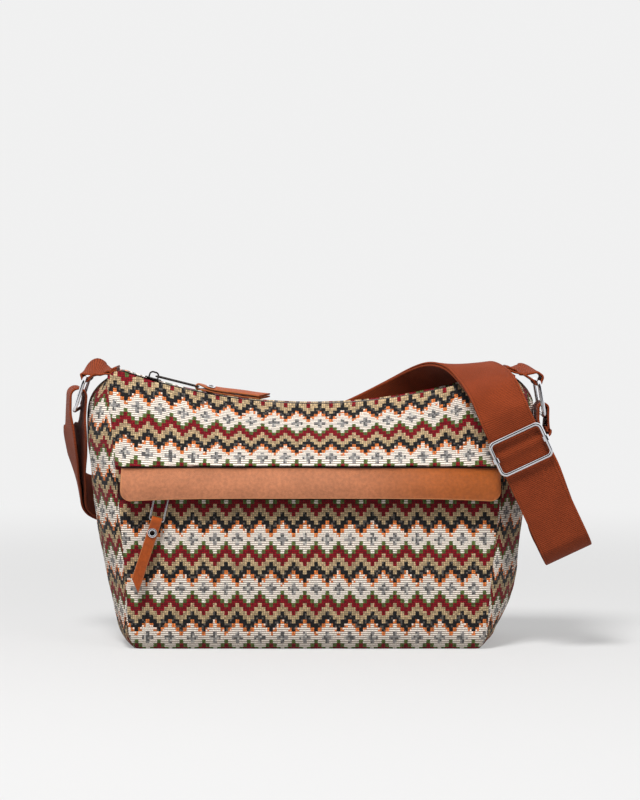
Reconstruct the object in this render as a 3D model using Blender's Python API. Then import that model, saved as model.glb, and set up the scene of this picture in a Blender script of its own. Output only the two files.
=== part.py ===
"""A crossbody bag of patterned woven cloth.

The body is a boxy shell of cloth panels with bulging side gussets. A zip closes the top
along a sagging circular arc. A second zip, under a leather flap, closes the front pocket.
A webbing strap runs from the right ring down to a fold, up through a metal slider, over
the top and behind the bag to the left ring, and back as a second layer to the slider.

Metres. X runs along the bag, -Y is its front, and Z is up from the floor.
"""

import math

import bmesh
import bpy
from mathutils import Vector

# Fit between pieces
GAP = 0.0003
SEAM_TRIM = 0.00022

# Body of the bag
WALL = 0.0020
BASE_HALF_LENGTH = 0.1275
BASE_HALF_DEPTH = 0.050
FLAP_LINE_HALF_DEPTH = 0.042
TOP_HALF_DEPTH = 0.016
POCKET_ZIP_HEIGHT = 0.1130
LINE_ABOVE_POCKET_ZIP = 0.0170
FLAP_LINE_HEIGHT = POCKET_ZIP_HEIGHT + LINE_ABOVE_POCKET_ZIP
FRONT_BELLY = 0.003
BELLY_TOP = 0.8
UPPER_LEAN = 1.35
FLARE_LEFT = 0.0160
FLARE_RIGHT = 0.0205
FLARE_HEIGHT = 0.180
FLARE_POWER = 1.4
BULGE = 0.0215
BULGE_AT_FLOOR_LEFT = 0.0075
BULGE_AT_FLOOR_RIGHT = 0.0030
BULGE_RISE_LEFT = 0.110
BULGE_RISE_RIGHT = 0.055
SHOULDER_POWER = 10
CORNER_TUCK = 0.005
TUCK_HEIGHT = 0.012
BASE_THICKNESS = 0.003
LINING_THICKNESS = 0.0008
POCKET_DEPTH = 0.008
LINING_MARGIN = 0.0008
LINING_FOOT_MARGIN = 0.0030
LINING_FOOT_HEIGHT = 0.020
LINING_TOP_ROW = 1.03
LINING_CLOSING_ROW = 0.84

# Top zip, a circular arc that sags between the corners
ZIP_RADIUS = 0.410
ZIP_LOW_HEIGHT = 0.1725
ZIP_CENTRE_X = 0.0035
ZIP_HALF_LENGTH = BASE_HALF_LENGTH + 0.0200
END_BEND = 0.0125
END_DROP = 0.0070
TAPE_THICKNESS = 0.0010
CHAIN_HALF_WIDTH = 0.0024
CHAIN_HEIGHT = 0.0012
TOOTH_PITCH = 0.0040
TOOTH_DROP = 0.0008
STOP_LENGTH = 0.0030
MAIN_SLIDER_FROM_END = 0.0340
MAIN_SLIDER_X = -(ZIP_HALF_LENGTH - MAIN_SLIDER_FROM_END)

# Sliders and pulls
SLIDER_LENGTH = 0.0120
SLIDER_HALF_WIDTH = 0.0046
SLIDER_PLATE = 0.0010
SLIDER_NOSE = 0.0024
FLANGE_WIDTH = 0.0010
BAIL_LENGTH = 0.0078
BAIL_HEIGHT = 0.0048
BAIL_HALF_WIDTH = 0.0011
BAIL_WIRE = 0.0012
BAIL_CORNER = 0.0018
BAIL_EYE_CORNER = 0.0008
SLIDER_CORNER = 0.0008
PULL_WIRE_RADIUS = 0.0006
PULL_WIRE_HALF_WIDTH = 0.0049
PULL_WIRE_CORNER = 0.0010
LEATHER_THICKNESS = 0.0013
LEATHER_HALF_WIDTH = 0.0038
PLY_GAP = 0.0006
SNAP_RADIUS = 0.0034
SNAP_CAP = 0.0009
SNAP_POST_RADIUS = 0.0007
SNAP_FROM_FOLD = 0.0090
MAIN_WIRE_LENGTH = 0.0320
MAIN_TAIL_LENGTH = 0.0490
POCKET_WIRE_LENGTH = 0.0190
POCKET_TAIL_LENGTH = 0.0480

# Front pocket zip and leather flap
POCKET_TAPE_HALF_HEIGHT = 0.0062
POCKET_TAPE_TRIM = 0.004
POCKET_CHAIN_LEFT = -(BASE_HALF_LENGTH - 0.0095)
POCKET_CHAIN_RIGHT = BASE_HALF_LENGTH - 0.0055
POCKET_SLIDER_X = POCKET_CHAIN_LEFT + 0.0145
POCKET_PULL_LEAN = 0.135
POCKET_WIRE_TILT = math.radians(12)
POCKET_TAIL_TILT = math.radians(18)
FLAP_LEFT = -(BASE_HALF_LENGTH + 0.0055)
FLAP_RIGHT = BASE_HALF_LENGTH + 0.0095
FLAP_TOP = FLAP_LINE_HEIGHT + 0.0005
FLAP_BELOW_ZIP = 0.0045
FLAP_BOTTOM = POCKET_ZIP_HEIGHT - FLAP_BELOW_ZIP
FLAP_END_DROP = 0.0022
FLAP_THICKNESS = 0.0018
FLAP_STANDOFF = 0.0086
FLAP_CORNER = 0.008
FLAP_SEWN = 0.003
FLAP_RISE = 0.0105

# Webbing, rings and tabs
WEB_HALF_WIDTH = 0.0180
WEB_THICKNESS = 0.0016
LAYER_GAP = 0.0007
RING_WIRE_RADIUS = 0.0015
RING_HALF_WIDTH = 0.0215
RING_CORNER = 0.0045
RING_OUT_LEFT = 0.0158
RING_OUT_RIGHT = 0.0164
RING_FALL_LEFT = 0.0005
RING_FALL_RIGHT = 0.0030
RING_HANG_LEFT = Vector((-0.0075, 0, -0.0235))
RING_HANG_RIGHT = Vector((0.0040, 0, -0.0245))
LOOP_OUT_LEFT = 0.0062
LOOP_OUT_RIGHT = 0.0032
LOOP_ROOM_LEFT = 0.0112
LOOP_ROOM_RIGHT = 0.0070
LOOP_RISE_LEFT = 0.0105
LOOP_RISE_RIGHT = 0.0050
LOOP_BLEND_STATIONS = 22
TAB_HALF_WIDTH = 0.0150
TAB_THICKNESS = 0.0016
TAB_SEAT = 0.0060
TAB_CLEARANCE = 0.0008
TAB_CREST_LEFT = 0.62
TAB_CREST_RIGHT = 0.45
TAB_LOWER_SHARE = 0.30
TAB_CURL = 0.0045
TAB_RISE_LEFT = 0.0105
TAB_RISE_RIGHT = 0.0045

# Fields of colour in the cloth
ZIGZAG_HALF_WIDTH = 0.0080
ZIGZAG_BAND = 0.0350
CREAM = (0.80, 0.72, 0.62)
RED = (0.22, 0.010, 0.015)
BEIGE = (0.48, 0.35, 0.18)
BLACK = (0.015, 0.015, 0.018)

# Strap slider
SLIDER_BEYOND_BASE = 0.0224
SLIDER_IN_FRONT = 0.0140
SLIDER_HEIGHT = 0.1443
STRAP_SLIDER_CENTRE = Vector(
    (BASE_HALF_LENGTH + SLIDER_BEYOND_BASE, -(BASE_HALF_DEPTH + SLIDER_IN_FRONT), SLIDER_HEIGHT)
)
STRAP_DOWN = Vector((0.4250, 0, -0.9052)).normalized()
STRAP_ACROSS = Vector((0.9052, 0, 0.4250)).normalized()
STRAP_OUT = Vector((0, -1, 0))
FRAME_HALF_WIDTH = 0.0192
FRAME_HALF_HEIGHT = 0.0121
FRAME_WIRE_RADIUS = 0.0014
FRAME_CORNER = 0.0040
BAR_THICKNESS = 0.0024
BAR_HALF_HEIGHT = 0.0018
EYE_WALL = 0.0010
FOLD_RADIUS = 0.0130
FOLD_DISTANCE = 0.0703
END_LOOP_TAIL = 0.0200


def clear_scene():
    for old in list(bpy.data.objects):
        bpy.data.objects.remove(old)


def finish(name, colour, roughness, metallic=0.0):
    """A plain material: colour, roughness and whether it is metal."""
    made = bpy.data.materials.new(name)
    made.use_nodes = True
    shader = made.node_tree.nodes["Principled BSDF"]
    shader.inputs["Base Color"].default_value = (*colour, 1)
    shader.inputs["Roughness"].default_value = roughness
    shader.inputs["Metallic"].default_value = metallic
    return made


def pattern_in_zigzags(material, colours):
    """Turns a plain cloth into level zigzag bands of colour, each one field wide."""
    tree = material.node_tree
    link = tree.links.new
    place = tree.nodes.new("ShaderNodeTexCoord")
    axes = tree.nodes.new("ShaderNodeSeparateXYZ")
    link(place.outputs["Object"], axes.inputs[0])
    value = axes.outputs["X"]
    steps = (
        ("PINGPONG", value, ZIGZAG_HALF_WIDTH),
        ("ADD", axes.outputs["Z"], None),
        ("PINGPONG", None, ZIGZAG_BAND),
        ("DIVIDE", None, ZIGZAG_BAND),
    )
    for operation, source, amount in steps:
        step = tree.nodes.new("ShaderNodeMath")
        step.operation = operation
        link(value, step.inputs[0])
        if amount is None:
            link(source, step.inputs[1])
        else:
            step.inputs[1].default_value = amount
        value = step.outputs[0]
    fields = tree.nodes.new("ShaderNodeValToRGB")
    fields.color_ramp.interpolation = "CONSTANT"
    fields.color_ramp.elements[1].position = 1 / len(colours)
    for k in range(2, len(colours)):
        fields.color_ramp.elements.new(k / len(colours))
    for stop, colour in zip(fields.color_ramp.elements, colours):
        stop.color = (*colour, 1)
    link(value, fields.inputs[0])
    link(fields.outputs[0], tree.nodes["Principled BSDF"].inputs["Base Color"])


def add_mesh(name, points, faces, material, smooth=True):
    """One closed mesh object from points and faces, its normals turned out."""
    mesh = bpy.data.meshes.new(name)
    mesh.from_pydata([tuple(p) for p in points], [], faces)
    form = bmesh.new()
    form.from_mesh(mesh)
    bmesh.ops.remove_doubles(form, verts=form.verts, dist=1e-7)
    bmesh.ops.recalc_face_normals(form, faces=form.faces)
    form.to_mesh(mesh)
    form.free()
    if smooth:
        mesh.shade_smooth()
        mesh.set_sharp_from_angle(angle=math.radians(40))
    mesh.materials.append(material)
    made = bpy.data.objects.new(name, mesh)
    bpy.context.collection.objects.link(made)
    return made


def sheet_solid(name, outer, inner, columns, rows, material):
    """A curved sheet with thickness: outer(i, j) and inner(i, j) give its two faces."""
    points = [outer(i, j) for j in range(rows + 1) for i in range(columns + 1)]
    points += [inner(i, j) for j in range(rows + 1) for i in range(columns + 1)]
    back = (columns + 1) * (rows + 1)

    def at(i, j, side):
        return side * back + j * (columns + 1) + i

    faces = []
    for j in range(rows):
        for i in range(columns):
            faces.append((at(i, j, 0), at(i + 1, j, 0), at(i + 1, j + 1, 0), at(i, j + 1, 0)))
            faces.append((at(i, j, 1), at(i, j + 1, 1), at(i + 1, j + 1, 1), at(i + 1, j, 1)))
    for i in range(columns):
        faces.append((at(i, 0, 0), at(i, 0, 1), at(i + 1, 0, 1), at(i + 1, 0, 0)))
        faces.append((at(i, rows, 0), at(i + 1, rows, 0), at(i + 1, rows, 1), at(i, rows, 1)))
    for j in range(rows):
        faces.append((at(0, j, 0), at(0, j + 1, 0), at(0, j + 1, 1), at(0, j, 1)))
        faces.append((at(columns, j, 0), at(columns, j, 1), at(columns, j + 1, 1), at(columns, j + 1, 0)))
    return add_mesh(name, points, faces, material)


def ribbon(name, stations, half_width, thickness, material):
    """A flat strip swept through stations of (centre, across, normal)."""
    points = []
    for centre, across, normal in stations:
        for side, face in ((-1, -1), (1, -1), (1, 1), (-1, 1)):
            points.append(centre + across * side * half_width + normal * face * thickness / 2)
    faces = []
    for k in range(len(stations) - 1):
        for edge in range(4):
            after = (edge + 1) % 4
            faces.append((4 * k + edge, 4 * k + after, 4 * k + 4 + after, 4 * k + 4 + edge))
    last = 4 * (len(stations) - 1)
    faces.append((3, 2, 1, 0))
    faces.append((last, last + 1, last + 2, last + 3))
    return add_mesh(name, points, faces, material)


def wire(name, points, radius, material):
    """A closed loop of round wire through the points."""
    path = bpy.data.curves.new(name, "CURVE")
    path.dimensions = "3D"
    path.bevel_depth = radius
    path.bevel_resolution = 2
    spline = path.splines.new("POLY")
    spline.points.add(len(points) - 1)
    for place, point in zip(spline.points, points):
        place.co = (*point, 1)
    spline.use_cyclic_u = True
    path.materials.append(material)
    made = bpy.data.objects.new(name, path)
    bpy.context.collection.objects.link(made)
    return made


def prism(name, outline, low, high, place, material):
    """An outline of (a, b) pairs extruded from low to high, put in the model by place(a, b, c)."""
    count = len(outline)
    points = [place(a, b, low) for a, b in outline] + [place(a, b, high) for a, b in outline]
    faces = [tuple(range(count)), tuple(range(2 * count - 1, count - 1, -1))]
    for k in range(count):
        after = (k + 1) % count
        faces.append((k, after, count + after, count + k))
    return add_mesh(name, points, faces, material)


def arc(centre, radius, start, end, steps):
    """Points (a, b) on a circle from one angle to another, in degrees."""
    found = []
    for k in range(steps + 1):
        angle = math.radians(start + (end - start) * k / steps)
        found.append((centre[0] + radius * math.cos(angle), centre[1] + radius * math.sin(angle)))
    return found


def rounded_rectangle(half_a, half_b, corner, steps=5):
    """The outline of a rectangle with round corners, as (a, b) pairs."""
    found = []
    for side_a, side_b, start in ((1, 1, 0), (-1, 1, 90), (-1, -1, 180), (1, -1, 270)):
        centre = (side_a * (half_a - corner), side_b * (half_b - corner))
        found += arc(centre, corner, start, start + 90, steps)
    return found


def combine(target, tool, operation):
    """Joins a second solid to the first, or cuts it away, and keeps the result."""
    step = target.modifiers.new(operation, "BOOLEAN")
    step.operation = operation
    step.solver = "EXACT"
    step.object = tool
    graph = bpy.context.evaluated_depsgraph_get()
    result = bpy.data.meshes.new_from_object(target.evaluated_get(graph))
    target.modifiers.clear()
    target.data = result
    bpy.data.objects.remove(tool)
    return target


def reshape(made, place):
    """Puts a solid that was modelled flat in its real place: place(a, b, c) for each point."""
    for point in made.data.vertices:
        point.co = place(*point.co)
    form = bmesh.new()
    form.from_mesh(made.data)
    bmesh.ops.recalc_face_normals(form, faces=form.faces)
    form.to_mesh(made.data)
    form.free()
    return made


# Shape of the body


def arc_centre_height():
    return ZIP_LOW_HEIGHT + ZIP_RADIUS


def end_drop(x):
    """How far the zip and the cloth beside it bend down over the bag's top corners."""
    beyond = abs(x - ZIP_CENTRE_X) - (ZIP_HALF_LENGTH - END_BEND)
    return END_DROP * (max(0.0, beyond) / END_BEND) ** 2


def zip_height(x):
    """Height of the top zip at x, on its arc."""
    arc_height = arc_centre_height() - math.sqrt(ZIP_RADIUS**2 - (x - ZIP_CENTRE_X) ** 2)
    return arc_height - end_drop(x)


def on_arc(along, y, rise):
    """A point by its distance along the top zip from the lowest place, and its rise above it."""
    angle = along / ZIP_RADIUS
    reach = ZIP_RADIUS - rise
    x = ZIP_CENTRE_X + reach * math.sin(angle)
    return Vector((x, y, arc_centre_height() - reach * math.cos(angle) - end_drop(x)))


def along_arc(x):
    return ZIP_RADIUS * math.asin((x - ZIP_CENTRE_X) / ZIP_RADIUS)


def mix(a, b, share):
    return a + (b - a) * share


def rim_height(u):
    """Height of the top edge, from the left corner at u = 0 to the right one at u = 1."""
    return zip_height(ZIP_CENTRE_X + ZIP_HALF_LENGTH * (2 * u - 1))


def wall_height(u, t):
    """Height of row t: t = 1 is the flap line, which is level, and t = 2 is the top edge."""
    if t <= 1:
        return t * FLAP_LINE_HEIGHT
    return mix(FLAP_LINE_HEIGHT, rim_height(u), t - 1)


def tuck(z):
    """How far the cloth turns in near the floor."""
    return CORNER_TUCK * max(0.0, 1 - z / TUCK_HEIGHT) ** 2


def half_depth(t):
    """Half the depth of the body at the side seams."""
    if t <= 1:
        depth = mix(BASE_HALF_DEPTH, FLAP_LINE_HALF_DEPTH, t * t)
    else:
        depth = mix(FLAP_LINE_HALF_DEPTH, TOP_HALF_DEPTH, (t - 1) ** UPPER_LEAN)
    return depth - tuck(t * FLAP_LINE_HEIGHT)


def seam_reach(side, t):
    """Distance of a side seam from the middle of the bag. side is -1 on the left."""
    z = wall_height(0 if side < 0 else 1, t)
    flare = FLARE_LEFT if side < 0 else FLARE_RIGHT
    return BASE_HALF_LENGTH + flare * (z / FLARE_HEIGHT) ** FLARE_POWER - tuck(z)


def front_belly(u, t):
    """How far the front and back cloth swells out between the seams."""
    across = 1 - (2 * u - 1) ** 2
    return FRONT_BELLY * across * math.sin(math.pi * min(t / BELLY_TOP, 1))


def face_point(front, u, t, inset):
    """A point of the front (front = -1) or back (front = 1) wall, inset from its outer face."""
    left = -(seam_reach(-1, t) - inset)
    right = seam_reach(1, t) - inset
    y = front * (half_depth(t) - inset + front_belly(u, t))
    return Vector((mix(left, right, u), y, wall_height(u, t)))


def gusset_bulge(side, t):
    """How far the middle of a gusset stands out from its seams."""
    z = wall_height(0 if side < 0 else 1, t)
    start = BULGE_AT_FLOOR_LEFT if side < 0 else BULGE_AT_FLOOR_RIGHT
    rise = BULGE_RISE_LEFT if side < 0 else BULGE_RISE_RIGHT
    full = mix(start, BULGE, 1 - (1 - min(1, z / rise)) ** 2)
    return full * (1 - (t / 2) ** SHOULDER_POWER)


def gusset_point(side, w, t, inset):
    """A point of a side gusset, from its front seam at w = -1 to its back seam at w = 1."""
    swell = max(0.0, 1 - abs(w) ** 2.2) ** 0.8
    x = side * (seam_reach(side, t) + gusset_bulge(side, t) * swell - inset)
    return Vector((x, w * (half_depth(t) - inset), wall_height(0 if side < 0 else 1, t)))


def build_face(name, front, low, high, rows, material, columns=24):
    """A front or back panel between rows low and high, trimmed a little at its side seams."""
    trim = SEAM_TRIM / (2 * BASE_HALF_LENGTH)

    def point(i, j, inset):
        eased = mix(i / columns, 0.5 - 0.5 * math.cos(math.pi * i / columns), 0.8)
        return face_point(front, mix(trim, 1 - trim, eased), mix(low, high, j / rows), inset)

    return sheet_solid(
        name, lambda i, j: point(i, j, 0), lambda i, j: point(i, j, WALL), columns, rows, material
    )


def build_gusset(name, side, material, columns=10, rows=16):
    trim = SEAM_TRIM / TOP_HALF_DEPTH

    def point(i, j, inset):
        t = 2 * j / rows
        edge = 1 - trim * TOP_HALF_DEPTH / half_depth(t)
        turn = math.pi * (i / columns - 0.5)
        return gusset_point(side, edge * math.sin(turn), t, inset)

    return sheet_solid(
        name, lambda i, j: point(i, j, 0), lambda i, j: point(i, j, WALL), columns, rows, material
    )


def build_base(material):
    """The bottom panel, which fits inside the walls at floor level."""
    inset = WALL + GAP
    outline = []
    steps = 14
    turns = 8
    for i in range(steps):
        outline.append(face_point(-1, i / steps, 0, inset))
    for i in range(turns):
        outline.append(gusset_point(1, math.sin(math.pi * (i / turns - 0.5)), 0, inset))
    for i in range(steps):
        outline.append(face_point(1, 1 - i / steps, 0, inset))
    for i in range(turns):
        outline.append(gusset_point(-1, -math.sin(math.pi * (i / turns - 0.5)), 0, inset))
    flat = [(p.x, p.y) for p in outline]
    return prism(
        "base_panel", flat, 0, BASE_THICKNESS, lambda a, b, c: Vector((a, b, c)), material
    )


def build_pocket_lining(material, columns=16, rows=12):
    """The inner wall of the front pocket, from the base seam up to behind the flap line."""
    low = (BASE_THICKNESS + GAP) / FLAP_LINE_HEIGHT
    high = LINING_TOP_ROW

    def point(i, j, extra):
        t = mix(low, high, j / rows)
        meets = max(0.0, (t - LINING_CLOSING_ROW) / (high - LINING_CLOSING_ROW))
        inset = mix(POCKET_DEPTH, WALL + GAP, min(1, meets) ** 1.2) + extra
        y = -(half_depth(t) - inset)
        w = y / (half_depth(t) - WALL)
        foot = max(0.0, 1 - t * FLAP_LINE_HEIGHT / LINING_FOOT_HEIGHT)
        room = LINING_MARGIN + LINING_FOOT_MARGIN * foot
        ends = [gusset_point(side, w, t, WALL).x - side * room for side in (-1, 1)]
        return Vector((mix(ends[0], ends[1], i / columns), y, wall_height(0.5, t)))

    return sheet_solid(
        "pocket_lining",
        lambda i, j: point(i, j, 0),
        lambda i, j: point(i, j, LINING_THICKNESS),
        columns,
        rows,
        material,
    )


# Top zip


def zip_end(side):
    """The x of the end of the top zip, just inside the gusset."""
    return side * (seam_reach(side, 2) - WALL - 2 * GAP)


def build_main_tape(name, front, material, steps=40):
    """One side of the top zip's tape, from the chain to the wall's top edge."""
    start = along_arc(zip_end(-1))
    end = along_arc(zip_end(1))
    inner = front * (CHAIN_HALF_WIDTH + GAP)
    outer = front * (TOP_HALF_DEPTH - WALL - GAP)

    def point(i, j, rise):
        return on_arc(mix(start, end, i / steps), mix(inner, outer, j), rise)

    return sheet_solid(
        name,
        lambda i, j: point(i, j, 0),
        lambda i, j: point(i, j, -TAPE_THICKNESS),
        steps,
        1,
        material,
    )


def toothed_outline(start, end):
    """A bar's side view with a row of teeth on its upper edge."""
    outline = [(start, -TAPE_THICKNESS)]
    count = int((end - start) / TOOTH_PITCH)
    pitch = (end - start) / count
    for k in range(count):
        left = start + k * pitch
        outline.append((left, CHAIN_HEIGHT - TOOTH_DROP))
        outline.append((left + 0.2 * pitch, CHAIN_HEIGHT))
        outline.append((left + 0.7 * pitch, CHAIN_HEIGHT))
        outline.append((left + 0.9 * pitch, CHAIN_HEIGHT - TOOTH_DROP))
    outline.append((end, CHAIN_HEIGHT - TOOTH_DROP))
    outline.append((end, -TAPE_THICKNESS))
    for k in range(1, count, 4):
        outline.append((end - k * pitch, -TAPE_THICKNESS))
    return outline


def build_main_chain(material):
    room = STOP_LENGTH + 2 * GAP
    start = along_arc(zip_end(-1)) + room
    end = along_arc(zip_end(1)) - room
    return prism(
        "main_zip_chain",
        toothed_outline(start, end),
        -CHAIN_HALF_WIDTH,
        CHAIN_HALF_WIDTH,
        lambda a, b, c: on_arc(a, c, b),
        material,
    )


def build_zip_stop(name, side, material):
    """The metal stop at one end of the top zip's chain."""
    edge = along_arc(zip_end(side))
    start = edge - side * GAP
    end = edge - side * (STOP_LENGTH + GAP)
    outline = rounded_rectangle(abs(end - start) / 2, CHAIN_HALF_WIDTH, 0.0008, 2)
    middle = (start + end) / 2
    return prism(
        name,
        outline,
        -TAPE_THICKNESS,
        CHAIN_HEIGHT,
        lambda a, b, c: on_arc(middle + a, b, c),
        material,
    )


# Sliders and their pulls, modelled flat and then put in place


def plain(a, b, c):
    return Vector((a, b, c))


def slider_base():
    """Height of the underside of a slider's plate above its tape."""
    return CHAIN_HEIGHT + GAP


def pull_height():
    """Height of a pull's wire above the tape, in the middle of the bail."""
    opening = BAIL_HEIGHT - BAIL_WIRE
    return slider_base() + SLIDER_PLATE + opening / 2


def build_slider(name, place, bail_along, material):
    """A zip slider: a plate with side flanges that cover the chain, and a bail on top."""
    half = SLIDER_LENGTH / 2
    nose = SLIDER_NOSE
    wide = SLIDER_HALF_WIDTH
    outline = [(-half, -wide + nose), (-half + nose, -wide), (half - nose, -wide + SLIDER_CORNER)]
    outline += [(half, -wide + nose), (half, wide - nose), (half - nose, wide - SLIDER_CORNER)]
    outline += [(-half + nose, wide), (-half, wide - nose)]
    low = slider_base()
    top = low + SLIDER_PLATE
    body = prism(name, outline, GAP, top, plain, material)
    groove = wide - FLANGE_WIDTH - SLIDER_CORNER
    channel = [(-SLIDER_LENGTH, -groove), (SLIDER_LENGTH, -groove)]
    channel += [(SLIDER_LENGTH, groove), (-SLIDER_LENGTH, groove)]
    combine(body, prism("channel", channel, -0.002, low, plain, material), "DIFFERENCE")
    reach = BAIL_LENGTH / 2
    crown = top + BAIL_HEIGHT
    arch = [(-reach, top - GAP), (-reach, crown - BAIL_CORNER)]
    arch += arc((-reach + BAIL_CORNER, crown - BAIL_CORNER), BAIL_CORNER, 180, 90, 3)
    arch += arc((reach - BAIL_CORNER, crown - BAIL_CORNER), BAIL_CORNER, 90, 0, 3)
    arch += [(reach, top - GAP)]
    inside = reach - BAIL_WIRE
    roof = crown - BAIL_WIRE
    hole = [(-inside, top), (inside, top), (inside, roof - BAIL_EYE_CORNER)]
    hole += [(inside - BAIL_EYE_CORNER, roof), (-inside + BAIL_EYE_CORNER, roof)]
    hole += [(-inside, roof - BAIL_EYE_CORNER)]

    def standing(a, b, c):
        return Vector((a, c, b)) if bail_along else Vector((c, a, b))

    bail = prism("bail", arch, -BAIL_HALF_WIDTH, BAIL_HALF_WIDTH, standing, material)
    eye = prism("eye", hole, -3 * BAIL_HALF_WIDTH, 3 * BAIL_HALF_WIDTH, standing, material)
    combine(bail, eye, "DIFFERENCE")
    combine(body, bail, "UNION")
    return reshape(body, place)


def build_pull_wire(name, length, place, material):
    """The wire loop of a pull, from the pivot at 0 to the leather's fold at its length."""
    middle = length / 2
    points = []
    for a, b in rounded_rectangle(middle, PULL_WIRE_HALF_WIDTH, PULL_WIRE_CORNER, 3):
        points.append(place(a + middle, b, 0))
    return wire(name, points, PULL_WIRE_RADIUS, material)


def ply_height(distance):
    """Middle of a leather ply above or below the wire's plane, by distance from the fold."""
    round_wire = PULL_WIRE_RADIUS + 2 * GAP + LEATHER_THICKNESS / 2
    closed = (PLY_GAP + LEATHER_THICKNESS) / 2
    share = min(1, distance / 0.007)
    return mix(round_wire, closed, share * share * (3 - 2 * share))


def build_pull_leather(name, fold, length, place, material):
    """A leather strip folded round the pull's wire, with both its ends at the tip."""
    steps = 12
    path = []
    for k in range(steps, 0, -1):
        distance = length * k / steps
        path.append((fold + distance, -ply_height(distance)))
    path += arc((fold, 0), ply_height(0), 270, 90, 6)
    for k in range(1, steps + 1):
        distance = length * k / steps
        path.append((fold + distance, ply_height(distance)))
    stations = []
    for k, (a, c) in enumerate(path):
        before = Vector(path[max(k - 1, 0)])
        after = Vector(path[min(k + 1, len(path) - 1)])
        heading = (after - before).normalized()
        stations.append((Vector((a, 0, c)), Vector((0, 1, 0)), Vector((-heading.y, 0, heading.x))))
    strip = ribbon(name, stations, LEATHER_HALF_WIDTH, LEATHER_THICKNESS, material)
    hole = arc((fold + SNAP_FROM_FOLD, 0), SNAP_POST_RADIUS + GAP, 0, 330, 11)
    punch = prism("punch", hole, -0.01, 0.01, plain, material)
    combine(strip, punch, "DIFFERENCE")
    return reshape(strip, place)


def build_snap(name, distance, place, material, turns=14):
    """The snap that holds the two plies of a pull: two caps on a post."""
    outside = ply_height(SNAP_FROM_FOLD) + LEATHER_THICKNESS / 2 + GAP
    half_profile = [(0, outside + SNAP_CAP), (SNAP_RADIUS * 0.6, outside + SNAP_CAP)]
    half_profile += [(SNAP_RADIUS, outside + SNAP_CAP * 0.35), (SNAP_RADIUS, outside)]
    half_profile += [(SNAP_POST_RADIUS, outside)]
    profile = half_profile + [(r, -h) for r, h in reversed(half_profile)]
    points = []
    faces = []
    for r, h in profile:
        for k in range(turns):
            angle = 2 * math.pi * k / turns
            points.append(place(distance + r * math.cos(angle), r * math.sin(angle), h))
    for ring in range(len(profile) - 1):
        for k in range(turns):
            after = (k + 1) % turns
            first = ring * turns
            second = first + turns
            faces.append((first + k, first + after, second + after, second + k))
    return add_mesh(name, points, faces, material)


def main_slider_place(a, b, c):
    return on_arc(along_arc(MAIN_SLIDER_X) + a, b, c)


def main_pull_start():
    """Where the main pull's wire rests in its bail, along the zip from the slider's middle."""
    return BAIL_LENGTH / 2 - BAIL_WIRE - PULL_WIRE_RADIUS - GAP


def main_pull_place(a, b, c):
    start = along_arc(MAIN_SLIDER_X) + main_pull_start()
    return on_arc(start + a, b, pull_height() + c)


def pocket_wall_y(z):
    return -half_depth(z / FLAP_LINE_HEIGHT)


def pocket_zip_y():
    """The face that the pocket's zip lies on, clear of the cloth below it."""
    return pocket_wall_y(POCKET_ZIP_HEIGHT - SLIDER_HALF_WIDTH)


def pocket_slider_place(a, b, c):
    return Vector((POCKET_SLIDER_X + a, pocket_zip_y() - c, POCKET_ZIP_HEIGHT + b))


def pocket_pivot():
    drop = BAIL_LENGTH / 2 - BAIL_WIRE - PULL_WIRE_RADIUS - GAP
    return Vector((POCKET_SLIDER_X, pocket_zip_y() - pull_height(), POCKET_ZIP_HEIGHT - drop))


def pocket_pull_place(a, b, c):
    """The pocket pull hangs down, its wire and then its leather turned to the left."""
    wire_down = Vector((-math.sin(POCKET_WIRE_TILT), 0, -math.cos(POCKET_WIRE_TILT)))
    wire_side = Vector((math.cos(POCKET_WIRE_TILT), 0, -math.sin(POCKET_WIRE_TILT)))
    lean = Vector((0, -POCKET_PULL_LEAN * a - c, 0))
    return pocket_pivot() + wire_down * a + wire_side * b + lean


def pocket_tail_place(a, b, c):
    """The pocket pull's leather, turned further than its wire about the wire's lower bar."""
    turn = POCKET_TAIL_TILT
    down = Vector((-math.sin(turn), 0, -math.cos(turn)))
    side = Vector((math.cos(turn), 0, -math.sin(turn)))
    start = pocket_pull_place(POCKET_WIRE_LENGTH, 0, 0)
    beyond = a - POCKET_WIRE_LENGTH
    return start + down * beyond + side * b + Vector((0, -POCKET_PULL_LEAN * beyond - c, 0))


# Front pocket's zip and the flap over it


def build_pocket_tape(material, columns=16):
    """The pocket zip's tape, between the pocket panel and the upper panel."""
    low = (POCKET_ZIP_HEIGHT - POCKET_TAPE_HALF_HEIGHT + GAP) / FLAP_LINE_HEIGHT
    high = (POCKET_ZIP_HEIGHT + POCKET_TAPE_HALF_HEIGHT - GAP) / FLAP_LINE_HEIGHT

    def point(i, j, inset):
        u = mix(POCKET_TAPE_TRIM, 1 - POCKET_TAPE_TRIM, i / columns)
        return face_point(-1, u, mix(low, high, j / 2), inset)

    return sheet_solid(
        "pocket_zip_tape",
        lambda i, j: point(i, j, 0),
        lambda i, j: point(i, j, TAPE_THICKNESS),
        columns,
        2,
        material,
    )


def build_pocket_chain(material):
    """The pocket zip's chain, a straight toothed bar that lies on its tape."""
    outline = toothed_outline(POCKET_CHAIN_LEFT, POCKET_CHAIN_RIGHT)
    outline = [(a, max(b, GAP)) for a, b in outline]
    return prism(
        "pocket_zip_chain",
        outline,
        -CHAIN_HALF_WIDTH,
        CHAIN_HALF_WIDTH,
        lambda a, b, c: Vector((a, pocket_zip_y() - b, POCKET_ZIP_HEIGHT + c)),
        material,
    )


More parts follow.
